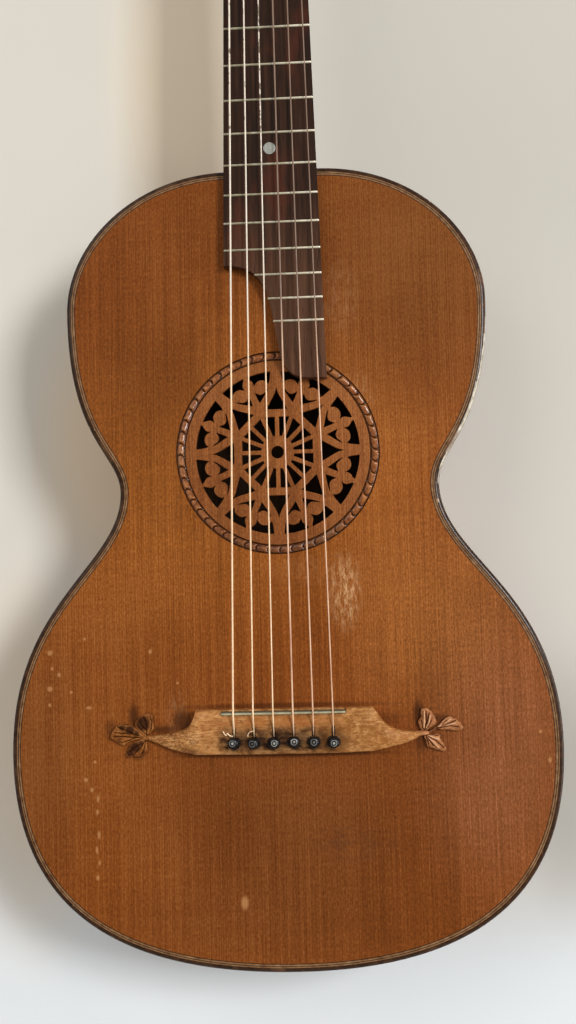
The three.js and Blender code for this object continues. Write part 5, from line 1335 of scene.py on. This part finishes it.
# Camera, lights, backdrop

# As solved from the photo, with the soundboard's middle as the camera's own origin.
CAMERA_TURN = (-0.07155, -0.05014, 0.02906)
CAMERA_SHIFT = (-2.28861, -111.93371, -615.05565)
CAMERA_LENS = 38.39
CAMERA_CENTRE = (0, FACE, 153.25)


def camera():
    rx, ry, rz = CAMERA_TURN
    turn = Matrix.Rotation(rz, 3, "Z") @ Matrix.Rotation(ry, 3, "Y") @ Matrix.Rotation(rx, 3, "X")
    to_part = Matrix(((1, 0, 0), (0, 0, -1), (0, 1, 0)))
    place = to_part @ (-(turn.transposed() @ Vector(CAMERA_SHIFT))) + Vector(CAMERA_CENTRE)
    data = bpy.data.cameras.new("camera")
    data.sensor_width = data.sensor_height = 36
    data.sensor_fit = "VERTICAL"
    data.lens = CAMERA_LENS
    data.clip_start = 0.01
    eye = bpy.data.objects.new("camera", data)
    eye.matrix_world = Matrix.Translation(place * MM) @ (to_part @ turn.transposed()).to_4x4()
    scene.collection.objects.link(eye)
    scene.camera = eye


def lamp(name, place, target, size, power, colour=(1, 1, 1)):
    """An area lamp at a place in metres, turned to a target."""
    data = bpy.data.lights.new(name, "AREA")
    data.shape = "RECTANGLE"
    data.size, data.size_y = size
    data.energy = power
    data.color = colour
    item = bpy.data.objects.new(name, data)
    item.location = place
    item.rotation_euler = (Vector(target) - Vector(place)).to_track_quat("-Z", "Y").to_euler()
    scene.collection.objects.link(item)


def wall_paint():
    """Warm above and cool below as in the photo. From behind, and for shadow and diffuse rays, it is clear."""
    wall = Shade("wall_paint", rough=0.9, spec=0.2)
    soft = wall.noise((3, 3, 3), 4, 0.6)
    across, up = wall.axis("X"), wall.axis("Z")
    # Painted light: warm above and cool below.
    warm, cool = (wall.ramp(soft, (0.3, 0.7), *pair) for pair in (("e3ddd1", "eae4d9"), ("e4e8ea", "eceff1")))
    paint = wall.mix(wall.span(up, 0.3, -0.02), warm, cool)
    # Painted shade at the top, on the right and in a spot right of the body.
    dimmed = wall.mix(wall.span(up, 0.25, 0.55), "cdc8be", "bbb7ac")
    paint = wall.tint(paint, dimmed, wall.span(across, -0.05, 0.16), wall.span(up, -0.03, 0.06), 0.85)
    paint = wall.tint(paint, "cbc5b8", wall.span(up, 0.4, 0.6, 0, 0.45))
    paint = wall.patch(paint, "aaa79e", (172, 95, 26, 60), 60, 0.7, 0.6, y=40)
    paint = wall.tint(paint, "77736b", wall.span(across, 0.35, 1.2, 0, 0.85))
    # Warm painted bounce light in the shadows left of the body.
    for *spot, strength in ((-112, 320, 42, 75, 0.95), (-60, 560, 40, 120, 0.8), (-172, 120, 40, 100, 0.6)):
        paint = wall.patch(paint, "f6e2c5", spot, 60, 0.6, strength, y=40)
    wall.finish(paint, None, (wall.noise((45, 45, 45), 4, 0.6), 0.6, 0.25))
    rays = wall.node("ShaderNodeLightPath").outputs
    seen = wall.calc("MAXIMUM", rays["Is Shadow Ray"], rays["Is Diffuse Ray"])
    seen = wall.calc("MAXIMUM", seen, wall.node("ShaderNodeNewGeometry").outputs["Backfacing"])
    clear = wall.node("ShaderNodeBsdfTransparent").outputs[0]
    mixed = wall.node("ShaderNodeMixShader", {0: seen, 1: wall.bsdf.outputs[0], 2: clear}).outputs[0]
    out = next(n for n in wall.tree.nodes if n.type == "OUTPUT_MATERIAL")
    wall.put(out.inputs["Surface"], mixed)
    return wall.mat


def sheet(name, corners, mat):
    mesh = bpy.data.meshes.new(name)
    mesh.from_pydata(corners, [], [(0, 1, 2, 3)])
    mesh.materials.append(mat)
    item = bpy.data.objects.new(name, mesh)
    scene.collection.objects.link(item)


def stage():
    world = bpy.data.worlds.new("studio")
    scene.world = world
    world.use_nodes = True
    sky = world.node_tree.nodes["Background"].inputs
    sky["Color"].default_value = (1.0, 1.0, 1.0, 1)
    sky["Strength"].default_value = 0.37
    lamp("key", (1.62, -2.35, 0.92), (0, 0, 0.3), (0.7, 0.8), 54, (0.97, 0.985, 1.0))
    lamp("fill", (-1.6, -2.4, 1.7), (0, 0, 0.5), (1.8, 1.8), 20, (1.0, 0.98, 0.94))
    lamp("rim", (2.2, -0.42, 0.1), (0, 0, 0.25), (0.4, 1.5), 22, (0.97, 0.985, 1.0))
    lamp("behind", (0.5, 1.9, 1.1), (0, 0, 0.4), (1.4, 1.4), 24)
    ground = Shade("floor_paint", rough=0.85, spec=0.2)
    ground.finish(ground.ramp(ground.noise((4, 4, 4)), (0.3, 0.7), "d0ccc3", "d8d4cb"))
    y, low = 0.0435, -1.9
    sheet("wall", [(-4, y, low), (4, y, low), (4, y, 4), (-4, y, 4)], wall_paint())
    sheet("floor", [(-4, -4, low), (4, -4, low), (4, 4, low), (-4, 4, low)], ground.mat)


camera()
stage()
body_pieces()
rosette_pieces()
board_pieces()
bridge_pieces()
leaf_pieces()
pin_pieces()
string_pieces()
neck_pieces()
tuner_pieces()
end_pin_piece()
inner_pieces()

scene.view_settings.view_transform = "Standard"
